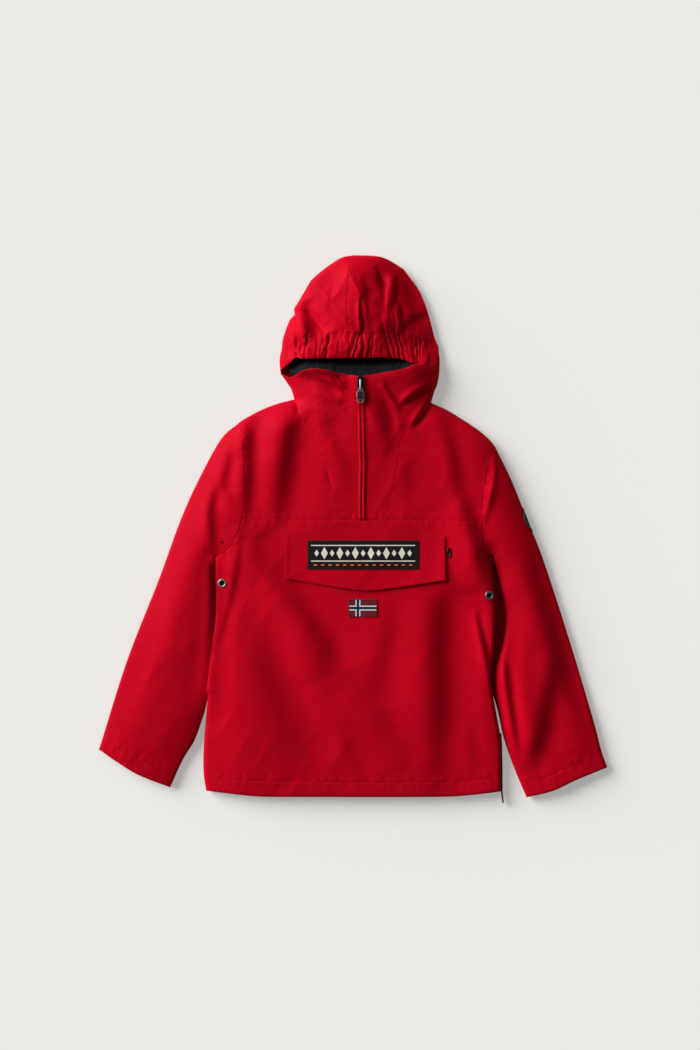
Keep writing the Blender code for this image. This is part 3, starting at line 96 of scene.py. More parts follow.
LINING_FALL = 30.0     # its own reach at the side edges
LINING_ROOM, LINING_FLOOR = 2.6, 2.8  # below the upper side, above the underside
LINING_EDGE = 14.0     # inside the hood's outline
LINING_ROWS = (217, 276)
LINING_FOLDS = ((1.6, 13, 41, 50, 2.2), (0.6, 5, 42))  # rise, then cell, seed, turn, stretch

# --------------------------------------------------------------- flap, patches
FLAP_ROOM = 2.0        # top of the pocket flap above the front
FLAP_TOP = ((-102, -7), (137, -10))
FLAP_POINT = ((-102, -74), (20, -92), (137, -76))
FLAP_TALL = 75
FLAP_LIFT = 1.2        # more room under the flap's lower edge
FLAP_CORNER_LIFT = 4.0  # and under its right corner
FLAP_END_LIFT, FLAP_END = 0.5, 0.03  # and at both ends, over this share of its length
PATCH_ROOM = 1.2       # top of a patch above what carries it
THREAD_RISE = 0.12     # of a stitch or a woven shape above the cloth
LABEL_BOX = (-68, -60, 98, -17)  # x, y of two corners
LABEL_CELLS = (84, 22)
LABEL_MARGIN = 8.0
LABEL_MIDDLE = 0.56    # share of the height at which the diamonds stand
LABEL_DIAMONDS = 13
DIAMOND_SIZES = ((0.3, 0.12), (0.44, 0.21))  # half width by step, half height by label
LABEL_LINES = (-0.29, 0.25)  # lines above and below the diamonds, as shares
LABEL_LINE, LABEL_LINE_OUT = 1.5, 2.5  # their width, and how far past the diamonds
LABEL_DASHES, DASH_HALF, DASH_TALL, DASH_PLACE, DASH_MARGIN = 14, 2.4, 1.7, 0.13, 12
LABEL_HEM = 1.8        # the sewing inside the label's edge
FLAG_BOX = (-6, -130, 35, -105)
FLAG_CROSS = (7.3, -117.7)
FLAG_WHITE, FLAG_BLUE = 3.6, 2.0  # half widths of the cross and of its inner part
FLAG_HEM, FLAG_CELLS = 0.8, (40, 26)
BADGE_PLACE = 0.235    # share of the right sleeve's outer edge
BADGE_RADIUS = 25.0
BADGE_SHOWN = 9.0      # how far it shows on the upper side
BADGE_RISE, BADGE_BULGE = 1.1, 0.5  # its cloth above the sleeve, and its rim's swell
BADGE_RINGS = {"badge_cloth": (0.05, 22.4, 15), "badge_rim": (22.2, BADGE_RADIUS, 5)}
BADGE_AROUND = 72
BADGE_RUN = (-38.0, 58.0, 1.0)  # places over the fold, under to over, and their step
BADGE_AHEAD = 0.01     # share of the edge over which its direction is taken
BADGE_SECTION = (80, 120, 0.5)  # steps over and under the sleeve's fold, and their length
BADGE_ROOM, BADGE_ROOM_REACH = 2.6, 62.0  # the sleeve's underside is higher over the badge

# -------------------------------------------------------------- zips and metal
EYELETS = {"eyelet_left": (-195, -81), "eyelet_right": (203, -99)}
EYELET_MIDDLE, EYELET_WIDE, EYELET_TALL, EYELET_RISE = 5.1, 1.7, 0.9, 0.5
# height above the cloth of the holes' discs of painted shade
HOLE_RISE = 0.25
SMALL_HOLE = (-195.2, -19.7, 1.6, 1.9)  # a bare hole, drawn as a flat disc of painted shade: x, y, half width and half height
ZIP_HALF_GAP = 1.2     # from the zip's middle to the cloth
ZIP_WAVER = (0.35, 19, 51)
ZIP_FOOT = 0.5         # how far above the yoke seam the zip starts
LIP_WIDTH, LIP_HEIGHT, LIP_SLOT, LIP_SEW = 4.9, 2.1, 0.3, 2.0
LIP_SUNK, LIP_BASE, LIP_ROOT = 0.2, 0.3, 0.9
LIP_UNEVEN = (0.06, 9, 52)
TAPE_HALF, TAPE_SUNK, TAPE_THICK = 4.0, 0.4, 0.8
TAPE_ROWS, TAPE_END = 140, 1.5  # the tape stops this far below the collar's edge
LIP_ROWS, LIP_END = 130, 0.3  # the lips stop this far below the slider
TOOTH_PITCH, TOOTH_LIFT, TOOTH_MARGIN = 1.5, 0.5, 2
TOOTH_ENDS = (-0.3, 1.8)  # across the zip, from its middle
TOOTH_SECTION = ((0.45, -0.5), (0.3, 0.4))  # half width and rise, foot and top
SIDE_ZIP_HEIGHT = 6.0
SIDE_ZIP_TOP = -306.0  # y of the zip's upper end
SIDE_ZIP_TAIL = ((222.6, -398.0), (223.4, -404.0), (224.0, -410.0))
SIDE_TOOTH_PITCH = 1.6
SIDE_TOOTH_ENDS, SIDE_TOOTH_HALF = (1.3, 2.1), (0.45, 0.9)
POCKET_PULL = (142.5, -34.5)
LOOP_HALF, LOOP_WIRE, LOOP_LIFT = (2.1, 6.0), 0.9, 0.3
AXIS = (11.0, 208.0, 43.287)  # the pull tab's hinge
TILT = math.radians(3.373)
SLIDER_WIDTH, SLIDER_FRONT, SLIDER_BACK = 9.6, 4.6, 19.0
SLIDER_BODY = (-4.2, -1.6)  # its underside and top below the axis
HOOP_WIDTH, HOOP_HALF_LENGTH, HOOP_TOP = 2.2, 3.6, 2.8
HOOP_BEND, HOOP_HALF_THICK, HOOP_SQUARE, SPINE_END = 1.2, 0.7, 0.6, 15.0
BAR_RADIUS = 0.9
PULL_WIDTH, PULL_LENGTH, PULL_THICKNESS, PULL_NECK = 10.6, 20.5, 1.5, 3.4
PULL_FLARE = (-2.6, -3.6)  # where the tab widens from its neck
PULL_SLOT = (2.0, -1.2, -3.0)  # half width and ends of the slot at its bar
PULL_CORNER, PULL_BEVEL = 2.6, 0.28
PULL_WINDOW = (3.4, 1.7, 4.3, 0.9)  # half width, ends above the tab's own, corner
PULL_FACE = (0.8, 5.0, 0.4, 1.0)  # inset, above the tab's end, below its flare, corner
FACE_DEEP, FACE_PROUD = 0.2, 0.06
ARC_POINTS = 7         # of a quarter circle
SLIDER_BED = 37.5      # height of the cloth under the hinge
SLIDER_SPAN = (192, 224)  # y between which the cloth lies calm under the metal
SLIDER_CALM = 13.0

# -------------------------------------------- rows of stitches, from their seams
YOKE_SEWS, FLAP_SEWS = (-1.6, -5.6), (1.8, 5.4)
BRIM_SEW, BRIM_EDGE_SEW, HOOD_SEW, COLLAR_SEW, SIDE_SEW = -2.0, 3.2, 1.8, -3.4, -2.2
FLAP_SEW_RISE = 0.1

# ----------------------------------------------------- floor, light and camera
FLOOR_HALF, FLOOR_LEVEL = 3.0, -0.0003  # metres
FLOOR_COLOUR = (0.50, 0.494, 0.478)
FLOOR_GLOW = 0.60      # how much of its own colour the floor gives off
KEY_WAY, KEY_FAR = (150, 20), 4  # the main light's azimuth and height in degrees, metres
KEY_STRENGTH, KEY_SOFT = 7.7, 45  # its strength, and how wide it is, in degrees
WORLD_COLOUR, WORLD_STRENGTH = (0.97, 0.98, 1.0), 0.21
CAMERA_PLACE = (-0.0045, 0.006, 4.0)
CAMERA_LENS, CAMERA_SENSOR = 91.4, 36.0

# ------------------------------------------------------------------ grid sizes
TORSO_ROWS, BODY_COLUMNS, BACK_COLUMNS = 150, 200, 150
ARM_LOW, ARM_HIGH, CAP_CELLS = 30, 70, 24
YOKE_COLUMNS, NECK_COLUMNS, NECK_ROWS, COLLAR_ROWS = 66, 84, 100, 40
SLEEVE_ROWS, SLEEVE_COLUMNS = 130, 60
HOOD_CELLS, BRIM_CELLS, BRIM_ROWS = 126, 420, 30
HOOD_BACK_CELLS, LINING_CELLS, FLAP_CELLS = (60, 100), (110, 50), (110, 40)


def smooth(*places, steps=20):
    """A smooth line through a few places, as an array of points."""
    knots = np.array(places, dtype=float)
    ends = np.vstack([2 * knots[0] - knots[1], knots, 2 * knots[-1] - knots[-2]])
    t = (np.arange(steps) / steps)[:, None]
    line = []
    for span in range(len(knots) - 1):
        before, start, end, after = ends[span:span + 4]
        line.append(0.5 * (2 * start + (end - before) * t
                           + (2 * before - 5 * start + 4 * end - after) * t ** 2
                           + (3 * start - before - 3 * end + after) * t ** 3))
    return np.vstack(line + [knots[-1:]])


# ------------------------------------------------------------------ outlines
# Smooth lines through a few (x, y) places.  On the body and the hood they run
# upwards or from left to right, on the arms down to the cuff, armholes and cuffs
# down and inwards.
TORSO = {
    "left": smooth((-220, -392), (-224, -362), (-223, -316), (-217.5, -256), (-213, -214),
                   (-208, -166), (-204.6, -129), (-204, -92), (-205, -64), (-205, -42)),
    "right": smooth((222, -393), (222, -362), (221, -316), (218, -294), (214, -272),
                    (209, -242), (207, -214), (211, -182), (213, -152), (214, -122), (212, -92),
                    (209, -64), (206, -42)),
}
ARMHOLE = {
    "left": smooth((-172, 158), (-166, 134), (-162, 106), (-160, 74), (-161, 36), (-165, 15),
                   (-176, -18), (-189, -33), (-205, -42)),
    "right": smooth((213, 123), (206, 108), (200, 81), (195, 51), (193, 21), (194, -4),
                    (198, -28), (206, -42)),
}
SHOULDER = {
    "left": smooth((-172, 158), (-164, 164), (-138, 178), (-112, 188), (-88, 194)),
    "right": smooth((117, 189), (141, 178), (164, 164), (188, 148), (204, 134), (213, 123)),
}
SLEEVE_OUT = {
    "left": smooth((-172, 158), (-198, 134), (-231, 74), (-258, 14), (-291, -76), (-338, -196),
                   (-376, -316), (-381, -330)),
    "right": smooth((213, 123), (237, 74), (261, 14), (285, -46), (324, -166), (360, -286),
                    (372, -332), (381, -357)),
}
SLEEVE_IN = {
    "left": smooth((-205, -42), (-205.6, -64), (-204.6, -92), (-205.2, -129), (-208.6, -166),
                   (-213.6, -214), (-218.6, -256), (-225, -282), (-237, -316), (-255, -346),
                   (-274, -387)),
    "right": smooth((206, -42), (209.6, -64), (212.6, -92), (214.6, -122), (213.6, -152),
                    (211.6, -182), (207.6, -214), (209.8, -242), (217, -272), (226, -314),
                    (243, -362), (260, -402)),
}
CUFF = {
    "left": smooth((-381, -330), (-333, -362), (-303, -376), (-274, -387)),
    "right": smooth((381, -357), (334, -376), (300, -392), (260, -402)),
}
CUFF_STITCH = {
    "left": smooth((-372, -316), (-326, -342), (-296, -354), (-264, -366)),
    "right": smooth((370, -334), (326, -354), (296, -368), (252, -380)),
}
HEM = smooth((-220, -392), (-146, -400), (-80, -401), (118, -401), (168, -399), (222, -393))
HEM_STITCH = smooth((-223, -372), (-168, -375), (-100, -377), (-20, -378), (118, -378),
                    (180, -376), (222, -372))
HOOD_SIDE = {
    "left": smooth((-107, 268), (-105, 284), (-100, 300), (-94, 314), (-87.5, 321.5),
                   (-88.5, 329), (-84, 337), (-76, 350), (-63, 372)),
    "right": smooth((127, 274), (123, 284), (111, 328), (98, 358), (76, 389)),
}
HOOD_TOP = {
    "left": smooth((-63, 372), (-51, 383), (-34, 396), (-16, 407), (2, 410)),
    "right": smooth((2, 410), (33, 409), (51, 404), (76, 389)),
}
BRIM_END = {
    "left": smooth((-109, 237), (-110, 254), (-107, 268)),
    "right": smooth((130, 250), (129, 262), (127, 274)),
}
BRIM_SEAM = {
    "left": smooth((-107, 268), (-86, 271), (-73, 282), (-38, 290), (-7, 291)),
    "right": smooth((-7, 291), (25, 290), (67, 290), (100, 284), (127, 274)),
}
BRIM_EDGE = smooth((-109, 237), (-98, 245), (-84, 256), (-73, 254), (-6, 254), (50, 255),
                   (75, 252), (92, 247), (110, 249), (130, 250))
HOOD_CENTRE = smooth((-7, 291), (-8, 330), (-7, 372), (2, 410))
NECK_SIDE = {
    "left": smooth((-88, 194), (-92, 208), (-98, 218), (-108, 232)),
    "right": smooth((117, 189), (122, 206), (126, 216), (129, 231), (130, 250)),
}
NECK_SEAM = {
    "left": smooth((-21, 14), (-30, 44), (-38, 70), (-42, 92), (-50, 108), (-55, 128),
                   (-58, 146), (-70, 156), (-80, 171), (-88, 194)),
    "right": smooth((52, 14), (57, 44), (63, 81), (68, 108), (70, 126), (78, 144), (99, 158),
                    (110, 176), (117, 189)),
}
COLLAR = {
    "left": smooth((-108, 232), (-93, 227), (-73, 236), (-44, 238), (-21, 232), (11, 227)),
    "right": smooth((11, 227), (52, 234), (76, 239), (92, 246), (110, 249), (130, 250)),
}
NECK_BACK = smooth((-88, 194), (14, 186), (117, 189))
ZIP_LINE = smooth((14, 14), (13, 44), (14, 99), (13, 134), (12, 186), (11, 227))
YOKE_SEAM_Y = {"left": 15, "right": 11}  # where it meets the armholes

# ----------------------------------------------------- crown, folds and gathers
# name, x, y, height of the upper side, how far the height holds
CROWN = (
    ("hem left", -150, -392, 16, 60),
    ("hem middle", 0, -396, 16, 60),
    ("hem right", 150, -392, 16, 60),
    ("waist left", -130, -260, 25, 80),
    ("waist middle", 0, -250, 29, 80),
    ("waist right", 130, -260, 25, 80),
    ("belly left", -110, -100, 28, 80),
    ("belly middle", 20, -100, 31, 80),
    ("belly right", 140, -100, 28, 80),
    ("chest left", -110, 60, 28, 70),
    ("chest middle", 15, 50, 30, 60),
    ("chest right", 140, 50, 28, 70),
    ("shoulder left", -130, 140, 25, 60),
    ("shoulder right", 160, 120, 26, 60),
    ("neck", 12, 130, 34, 40),
    ("collar", 12, 205, 38, 40),
    ("hood front", 5, 280, 41, 45),
    ("hood middle", 5, 335, 41, 50),
    ("hood top", 5, 400, 24, 35),
    ("hood's upper left", -50, 385, 27, 32),
    ("hood's upper right", 65, 392, 26, 32),
    ("left upper arm", -220, 50, 21, 60),
    ("left elbow", -265, -110, 20, 70),
    ("left forearm", -300, -250, 18, 60),
    ("left cuff", -328, -362, 15, 45),
    ("right upper arm", 245, 30, 26, 60),
    ("right elbow", 280, -130, 26, 70),
    ("right forearm", 300, -270, 21, 60),
    ("right cuff", 320, -385, 15, 45),
)

# name, start x, y, middle x, y, end x, y, half width on each side, rise, sharpness
FOLDS = (
    ("chest crease", -40, 96, -36, 76, -29, 56, 4, 4, -1.2, 0.5),
    ("right cap ridge", 209, 112, 210, 74, 193, 6, 6, 7, 4, 0.3),
    ("hood left rim crease", -90, 297, -84, 278, -86, 264, 3, 3.75, -2, 0.5),
    ("brim's left curl", -86, 266, -80, 258, -72, 262, 3, 3, -2, 0.3),
    ("collar roll left", -88, 231, -58, 239, -22, 224, 4.5, 7.8, 8, 0.3),
    ("collar's fine crease", -33, 228, -22, 216, -10, 204, 2.25, 3, -1.3, 0.5),
    ("collar's second crease", -22, 228, -12, 216, -2, 206, 2.25, 3, -1, 0.5),
    ("collar's low swell", -60, 206, -40, 198, -15, 190, 4.5, 7.5, 1.6, 0.3),
    ("neck's left pinch", -88, 195, -84, 184, -82, 171, 2.7, 4.5, -4.5, 0.4),
    ("hood's pocket fold", -75, 339, -58, 314, -38, 290, 13.5, 9, -4.5, 0.5),
    ("hood's top facet", -2, 400, -14, 368, -33, 339, 13.5, 10.5, 2.6, 0.6),
    ("hood's centre ridge", -4, 375, 4, 360, 12, 340, 4.5, 9, 3.5, 0.7),
    ("hood's bright ridge", 58, 381, 50, 340, 54, 292, 12, 7.5, 3.2, 0.7),
    ("hood's top valley", 34, 394, 42, 374, 50, 356, 6.5, 6.5, -3.5, 0.6),
    ("hood's right valley", 68, 326, 88, 316, 116, 324, 8, 8, -3.6, 0.6),
    ("hood's inner valley", 20, 358, 22, 338, 28, 316, 6.5, 5.5, -3, 0.6),
    ("brim's left crumple", -86, 286, -78, 274, -80, 258, 4.5, 3.75, -3.5, 0.6),
    ("brim's left swell", -74, 282, -68, 270, -74, 256, 3.75, 3.75, 2.4, 0.6),
    ("brim's right crumple", 98, 276, 90, 264, 100, 249, 3.75, 3.75, -3, 0.6),
    ("brim's right swell", 108, 273, 112, 260, 106, 243, 4.5, 3.75, 2.6, 0.6),
    ("brim crest", -96, 262, 0, 275, 116, 266, 12, 12, 2, 0),
    ("opening's upper edge", -108, 240, -8, 250, 92, 246, 7, 7, -3.5, 0),
    ("opening's lower edge", -100, 230, -8, 230, 92, 246, 7, 7, -3.0, 0),
)

# name, start x, y, middle x, y, end x, y, half width, how far the cloth falls from
# the right of the line to its left, seen along it
SLOPES = (
    ("hood's left soft shade", -20, 366, -40, 336, -52, 316, 15, 3),
    ("neck's left shade", -82, 228, -75, 201, -60, 164, 13.5, 8.5),
    ("collar left shade", -52, 224, -42, 186, -27, 134, 21, 6),
    ("hood's upper right shade", 68, 388, 82, 351, 92, 316, 10.5, 5),
    ("hood's upper left shade", -12, 400, -52, 374, -75, 332, 18, 14.5),
    ("left forearm rise", -272, -92, -302, -226, -326, -334, 36, -8),
    ("right arm's inner shade", 220, -106, 231, -174, 231, -242, 10.5, 9),
    ("right arm's outer shade", 260, -32, 298, -166, 334, -294, 18, 9),
    ("left shoulder shade", -146, 188, -154, 148, -158, 106, 13.5, 10),
    ("right arm's inner fall", 200, 64, 248, -136, 292, -334, 33, 21),
    ("left arm's low shade", -201, 62, -212, 26, -204, -34, 8.25, 9),
    ("left arm's upper shade", -186, 128, -188, 94, -198, 52, 9.75, 9),
    ("neck's right crease", 118, 198, 105, 177, 87, 150, 4.2, 13),
    ("star's right arm", 122, 216, 93, 202, 70, 182, 3.9, 12),
    ("star's left arm", 44, 219, 56, 201, 74, 177, 3.6, 6.5),
    ("collar's bright arc", 45, 196, 58, 180, 66, 142, 4.5, -4),
    ("collar edge's shade", -16, 202, -38, 218, -68, 228, 4.8, 13),
    ("hood's side rise", 86, 302, 87, 284, 88, 266, 15, -4),
    ("hood's side hollow", 122, 322, 92, 314, 69, 303, 6.75, 9),
    ("hood's side crease", 68, 338, 70, 312, 74, 282, 3.6, 8),
    ("hood's side bump", 56, 334, 57, 314, 62, 292, 3.75, -2.4),
    ("hood's front rise", 34, 318, 36, 303, 39, 286, 13.5, -5),
    ("hood's inner hollow", 20, 339, 32, 327, 46, 326, 4.5, 3),
    ("hood's ridge fall", 62, 382, 62, 356, 57, 326, 3.6, 6),
    ("hood's ridge rise", 52, 368, 50, 338, 48, 306, 3.6, -3),
    ("hood's top rise", 48, 387, 51, 372, 51, 358, 6, -3.5),
    ("hood's inner shade", 35, 392, 40, 368, 45, 339, 3.9, 3),
    ("hood's crease rim", 16, 334, 17, 318, 20, 298, 1.8, -1.5),
    ("hood's black crease", 11, 345, 10, 320, 14, 286, 1.95, 8),
    ("hood's crown shade", 10, 375, 18, 360, 27, 339, 4.5, 5),
    ("hood's bright seam", -3, 376, 6, 358, 12, 339, 3, -2),
    ("hood's soft shade", -33, 378, -34, 350, -40, 316, 3.75, 1),
    ("hood's lobe shade", -92, 306, -87, 290, -86, 268, 3, 4),
    ("hood's left lobe", -93, 326, -84, 315, -78, 298, 3, -3),
    ("hood's pocket rise", -68, 340, -52, 315, -36, 290, 3.3, -2),
    ("hood's left pocket", -81, 340, -71, 310, -58, 280, 11, 21),
    ("swag's bright side", -116, -124, -80, -226, -12, -334, 22.5, -7),
    ("shade below the flap", -128, -64, -70, -128, -22, -214, 22.5, 18),
    ("shade at the flap's left", -154, -14, -136, -44, -106, -82, 18, 9),
    ("swag's left side", -146, -106, -124, -230, -58, -358, 30, 9),
    ("swag's right side", -4, -230, 52, -294, 88, -354, 19.5, 6),
    ("shade beside the flag", 56, -94, 50, -166, 26, -256, 18, 5),
    ("right belly shade", 135, -81, 129, -189, 130, -406, 25.5, 20),
    ("right side crease", 182, -116, 196, -176, 210, -242, 5.25, 9),
    ("right armpit shade", 166, 44, 188, -24, 201, -92, 15, 17),
    ("right hem shade", 172, -279, 178, -328, 188, -369, 12, 3.5),
    ("left side crease", -164, 2, -178, -84, -204, -182, 6, 3.5),
    ("left hem rise", -206, -166, -184, -279, -176, -392, 36, -8),
    ("middle hem shade", -22, -294, -2, -339, 22, -374, 12, 3),
    ("left chest shade", -82, 186, -96, 122, -111, -2, 18, 18),
    ("left armhole shade", -160, 200, -157, 96, -158, 8, 12, 13),
    ("left cap shade", -194, 63, -182, 45, -166, 22, 7.5, 3),
    ("middle chest shade", -46, 176, -22, 118, 2, 58, 12, 4),
    ("right collar shade", 28, 206, 44, 164, 56, 111, 13.5, 9),
    ("right chest shade", 128, 178, 147, 118, 176, -16, 13.5, 8),
    ("low chest shade", 82, 116, 81, 74, 78, 28, 12, 2.5),
    ("left arm's outer rise", -196, 104, -286, -136, -346, -309, 25.5, -3),
    ("right arm's outer fall", 238, 88, 298, -136, 354, -328, 19.5, 18),
    ("right forearm crease", 224, -174, 234, -256, 249, -342, 6, 13),
    ("right forearm shade", 300, -182, 288, -272, 261, -370, 16.5, 14),
)

# each gather: x at the seam, x at the edge, half width, depth, and how far it runs on
# above the seam
GATHERS = ((-90, -84, 2.04, 2.25, 14), (-67.5, -72.75, 2.04, 5.1, 7),
           (-54, -55.5, 1.78, 1.2, 3), (-43.5, -48, 1.78, 0.9, 2),
           (-35.25, -39.75, 1.91, 4.5, 4), (-22.5, -21, 2.29, 0.75, 2),
           (-5.25, -6, 1.53, 1.2, 2), (6, -5.25, 1.78, 2.7, 3), (11.25, 0.75, 1.78, 3.6, 5),
           (15, 13.5, 2.17, 4.5, 12), (28.5, 20.25, 1.78, 3.3, 4), (32.25, 27, 1.78, 2.4, 3),
           (43.5, 45, 2.04, 0.9, 3), (48, 57, 2.04, 4.8, 14), (55.5, 63, 1.78, 3.9, 10),
           (64.5, 69.75, 1.91, 4.2, 14), (69.75, 78.75, 1.91, 3.6, 16), (78, 84, 2.29, 1.2, 3),
           (88.5, 91.5, 2.55, 2.7, 3), (96.75, 97.5, 2.04, 3, 3), (102, 101.25, 1.91, 2.4, 2),
           (111, 115.5, 2.29, 2.4, 3), (-97.5, -93, 2.04, 1.2, 6))


# =================================================================== 2D lines
def shares_of(points):
    """Each point's share of the length of the line that they make."""
    steps = np.linalg.norm(np.diff(points, axis=0), axis=1)
    length = np.concatenate([[0.0], np.cumsum(steps)])
    return length / length[-1]


def along(line, shares):
    """Points at the given shares of a line's length."""
    line = np.asarray(line, dtype=float)
    own = shares_of(line)
    return np.stack([np.interp(shares, own, row) for row in line.T], axis=1)


def long(line):
    """A line's length."""
    return np.linalg.norm(np.diff(np.asarray(line, dtype=float), axis=0), axis=1).sum()


def unit(ways):
    """Directions of length one."""
    return ways / np.linalg.norm(ways, axis=-1, keepdims=True)


def turns(count):
    """Angles all round, without the last."""
    return np.linspace(0, 2 * math.pi, count + 1)[:-1]


def spread(cells, start=False, end=False, cluster=CLUSTER):
    """Shares from 0 to 1, crowded towards the ends that are folded edges."""
    t = np.linspace(0.0, 1.0, cells + 1)
    if start and end:
        eased = (1 - np.cos(math.pi * t)) / 2
    elif start:
        eased = 1 - np.cos(math.pi * t / 2)
    elif end:
        eased = np.sin(math.pi * t / 2)
    else:
        eased = t
    return cluster * eased + (1 - cluster) * t


def spread_out(side, cells):
    """Shares across a panel, crowded towards the garment's outside."""
    return spread(cells, start=side == "left", end=side == "right")


def chain(*lines):
    """Lines joined end to end, without doubled points."""
    return np.vstack([lines[0]] + [line[1:] for line in lines[1:]])


def split_at_height(line, height):
    """The parts of a falling line above and below a height."""
    below = int(np.argmax(line[:, 1] < height))
    before, after = line[below - 1], line[below]
    share = (before[1] - height) / (before[1] - after[1])
    middle = before + share * (after - before)
    return np.vstack([line[:below], middle]), np.vstack([middle, line[below:]])


def fill(bottom, top, left, right):
    """A grid of (x, y) places between four lines that share corners."""
    u = ((shares_of(bottom) + shares_of(top)) / 2)[None, :, None]
    v = ((shares_of(left) + shares_of(right)) / 2)[:, None, None]
    across = (1 - u) * left[:, None] + u * right[:, None]
    upward = (1 - v) * bottom[None] + v * top[None]
    corners = ((1 - v) * ((1 - u) * bottom[0] + u * bottom[-1])
               + v * ((1 - u) * top[0] + u * top[-1]))
    return across + upward - corners


def fill_side(side, bottom, top, outer, inner):
    """The same for a panel of one side, between its outer and its inner line."""
    return fill(bottom, top, *((outer, inner) if side == "left" else (inner, outer)))


class Line:
    """A line on the plan that gives its nearest place for many points."""

    def __init__(self, points, rows=()):
        self.length = long(points)
        count = max(3, int(self.length / EDGE_SPACING) + 1)
        even = np.linspace(0, 1, count)
        self.points = along(points, even)
        own, half = shares_of(points), EDGE_BLEND // 2
        self.rows = [np.convolve(np.pad(np.interp(even, own, row), half, "edge"),
                                 np.ones(EDGE_BLEND) / EDGE_BLEND, "valid") for row in rows]
        self.runs = np.diff(self.points, axis=0)
        self.steps = np.linalg.norm(self.runs, axis=1)
        self.start = np.concatenate([[0.0], np.cumsum(self.steps)])
        self.tree = KDTree(count)
        for number, (x, y) in enumerate(self.points):
            self.tree.insert((x, y, 0.0), number)
        self.tree.balance()

    def near(self, places, reach):
        """Distance, side (+1 left of travel) and run, within a reach."""
        length = np.full(len(places), FAR)
        side = np.ones(len(places))
        run = np.zeros(len(places))
        low, high = self.points.min(axis=0) - reach, self.points.max(axis=0) + reach
        rows = np.flatnonzero(((places > low) & (places < high)).all(axis=1))
        if not len(rows):
            return length, side, run
        spots = places[rows]
        find = self.tree.find
        first = np.array([find((x, y, 0.0))[1] for x, y in spots])
        for segment in (first - 1, first):
            segment = np.clip(segment, 0, len(self.runs) - 1)
            way, step = self.runs[segment], self.steps[segment]
            offset = spots - self.points[segment]
            share = np.clip((offset * way).sum(axis=1) / step ** 2, 0, 1)
            gap = np.linalg.norm(offset - share[:, None] * way, axis=1)
            closer = gap < length[rows]
            spot = rows[closer]
            length[spot] = gap[closer]
            turn = way[:, 0] * offset[:, 1] - way[:, 1] * offset[:, 0]
            side[spot] = np.where(turn[closer] < 0, -1.0, 1.0)
            run[spot] = (self.start[segment] + share * step)[closer]
        return length, side, run


def outline(*parts):
    """An edge from lines that each rise over two widths, by a quick share."""
    rows = [np.stack([np.linspace(start, end, len(line)), np.full(len(line), quick)])
            for line, start, end, quick in parts]
    return Line(chain(*(part[0] for part in parts)),
                np.hstack([rows[0]] + [row[:, 1:] for row in rows[1:]]))


# =========================================================== the height field
LATTICE = 128          # random values each way before they repeat
RIDGE_ROUND = 0.004    # how soft the creases of ridged noise are
CREST_ROUND = 0.1      # and of a sharp fold
CREST_FALL = 1.5
CURVE_STEPS = 13       # places of a fold's line
FOLD_ROOM, SLOPE_ROOM = 2.6, 4.5  # a fold and a slope end this many widths away
FOLD_TAPER, SLOPE_TAPER = 3, 2.5  # how late they fade towards their ends
SLOPE_TURN, SLOPE_FADE = 1.1, 2.2
# cell, seed, turn and stretch of each noise; a ridged one also has its middle
PATCHY, SOME = (70, 11), (42, 18)
BROAD, FINE = (0.9, 55, 12, 70, 1.6), (0.05, 5, 15)
RIDGES = ((1.1, 0.6, 34, 13, 60, 1.7), (0.5, 0.6, 15, 14, -35, 1.5),
          (2.1, 0.75, 23, 16, -50, 1.9), (0.6, 0.75, 10, 17, 35, 1.6))
CRISP_FROM, CRISP_RAMP, CRISP_LOW = 90, 90, 0.25  # crisper above this y
UNDER_RIPPLE, UNDER_LEVEL = (0.5, 40, 31, 80, 1.8), 0.05
PUCKER_CELL, PUCKER_SEED = 5.0, 21
PROBE = 0.5            # step for the slope of a height field


def noise(places, cell, seed, turn=0.0, stretch=1.0):
    """Smooth random values from -1 to 1, in cells that may be long one way."""
    table = np.random.RandomState(seed).uniform(-1, 1, (LATTICE, LATTICE))
    c, s = math.cos(math.radians(turn)), math.sin(math.radians(turn))
    u = (places[:, 0] * c + places[:, 1] * s) / (cell * stretch)
    v = (places[:, 1] * c - places[:, 0] * s) / cell
    i, j = np.floor(u).astype(int), np.floor(v).astype(int)
    u, v = u - i, v - j
    u, v = (w * w * w * (w * (6 * w - 15) + 10) for w in (u, v))
    i, j = i % LATTICE, j % LATTICE
    after_i, after_j = (i + 1) % LATTICE, (j + 1) % LATTICE
    low = table[i, j] * (1 - u) + table[after_i, j] * u
    high = table[i, after_j] * (1 - u) + table[after_i, after_j] * u
    return low * (1 - v) + high * v


def waves(places, rise, *kind):
    """The same, scaled."""
    return rise * noise(places, *kind)


def ridged(places, *kind):
    """Random values with soft creases, from 0 to 1."""
    return 1 - np.sqrt(noise(places, *kind) ** 2 + RIDGE_ROUND)


def share_between(values, low, high):
    """Where values lie between two ends, from 0 to 1."""
    return np.clip((values - low) / (high - low), 0, 1)


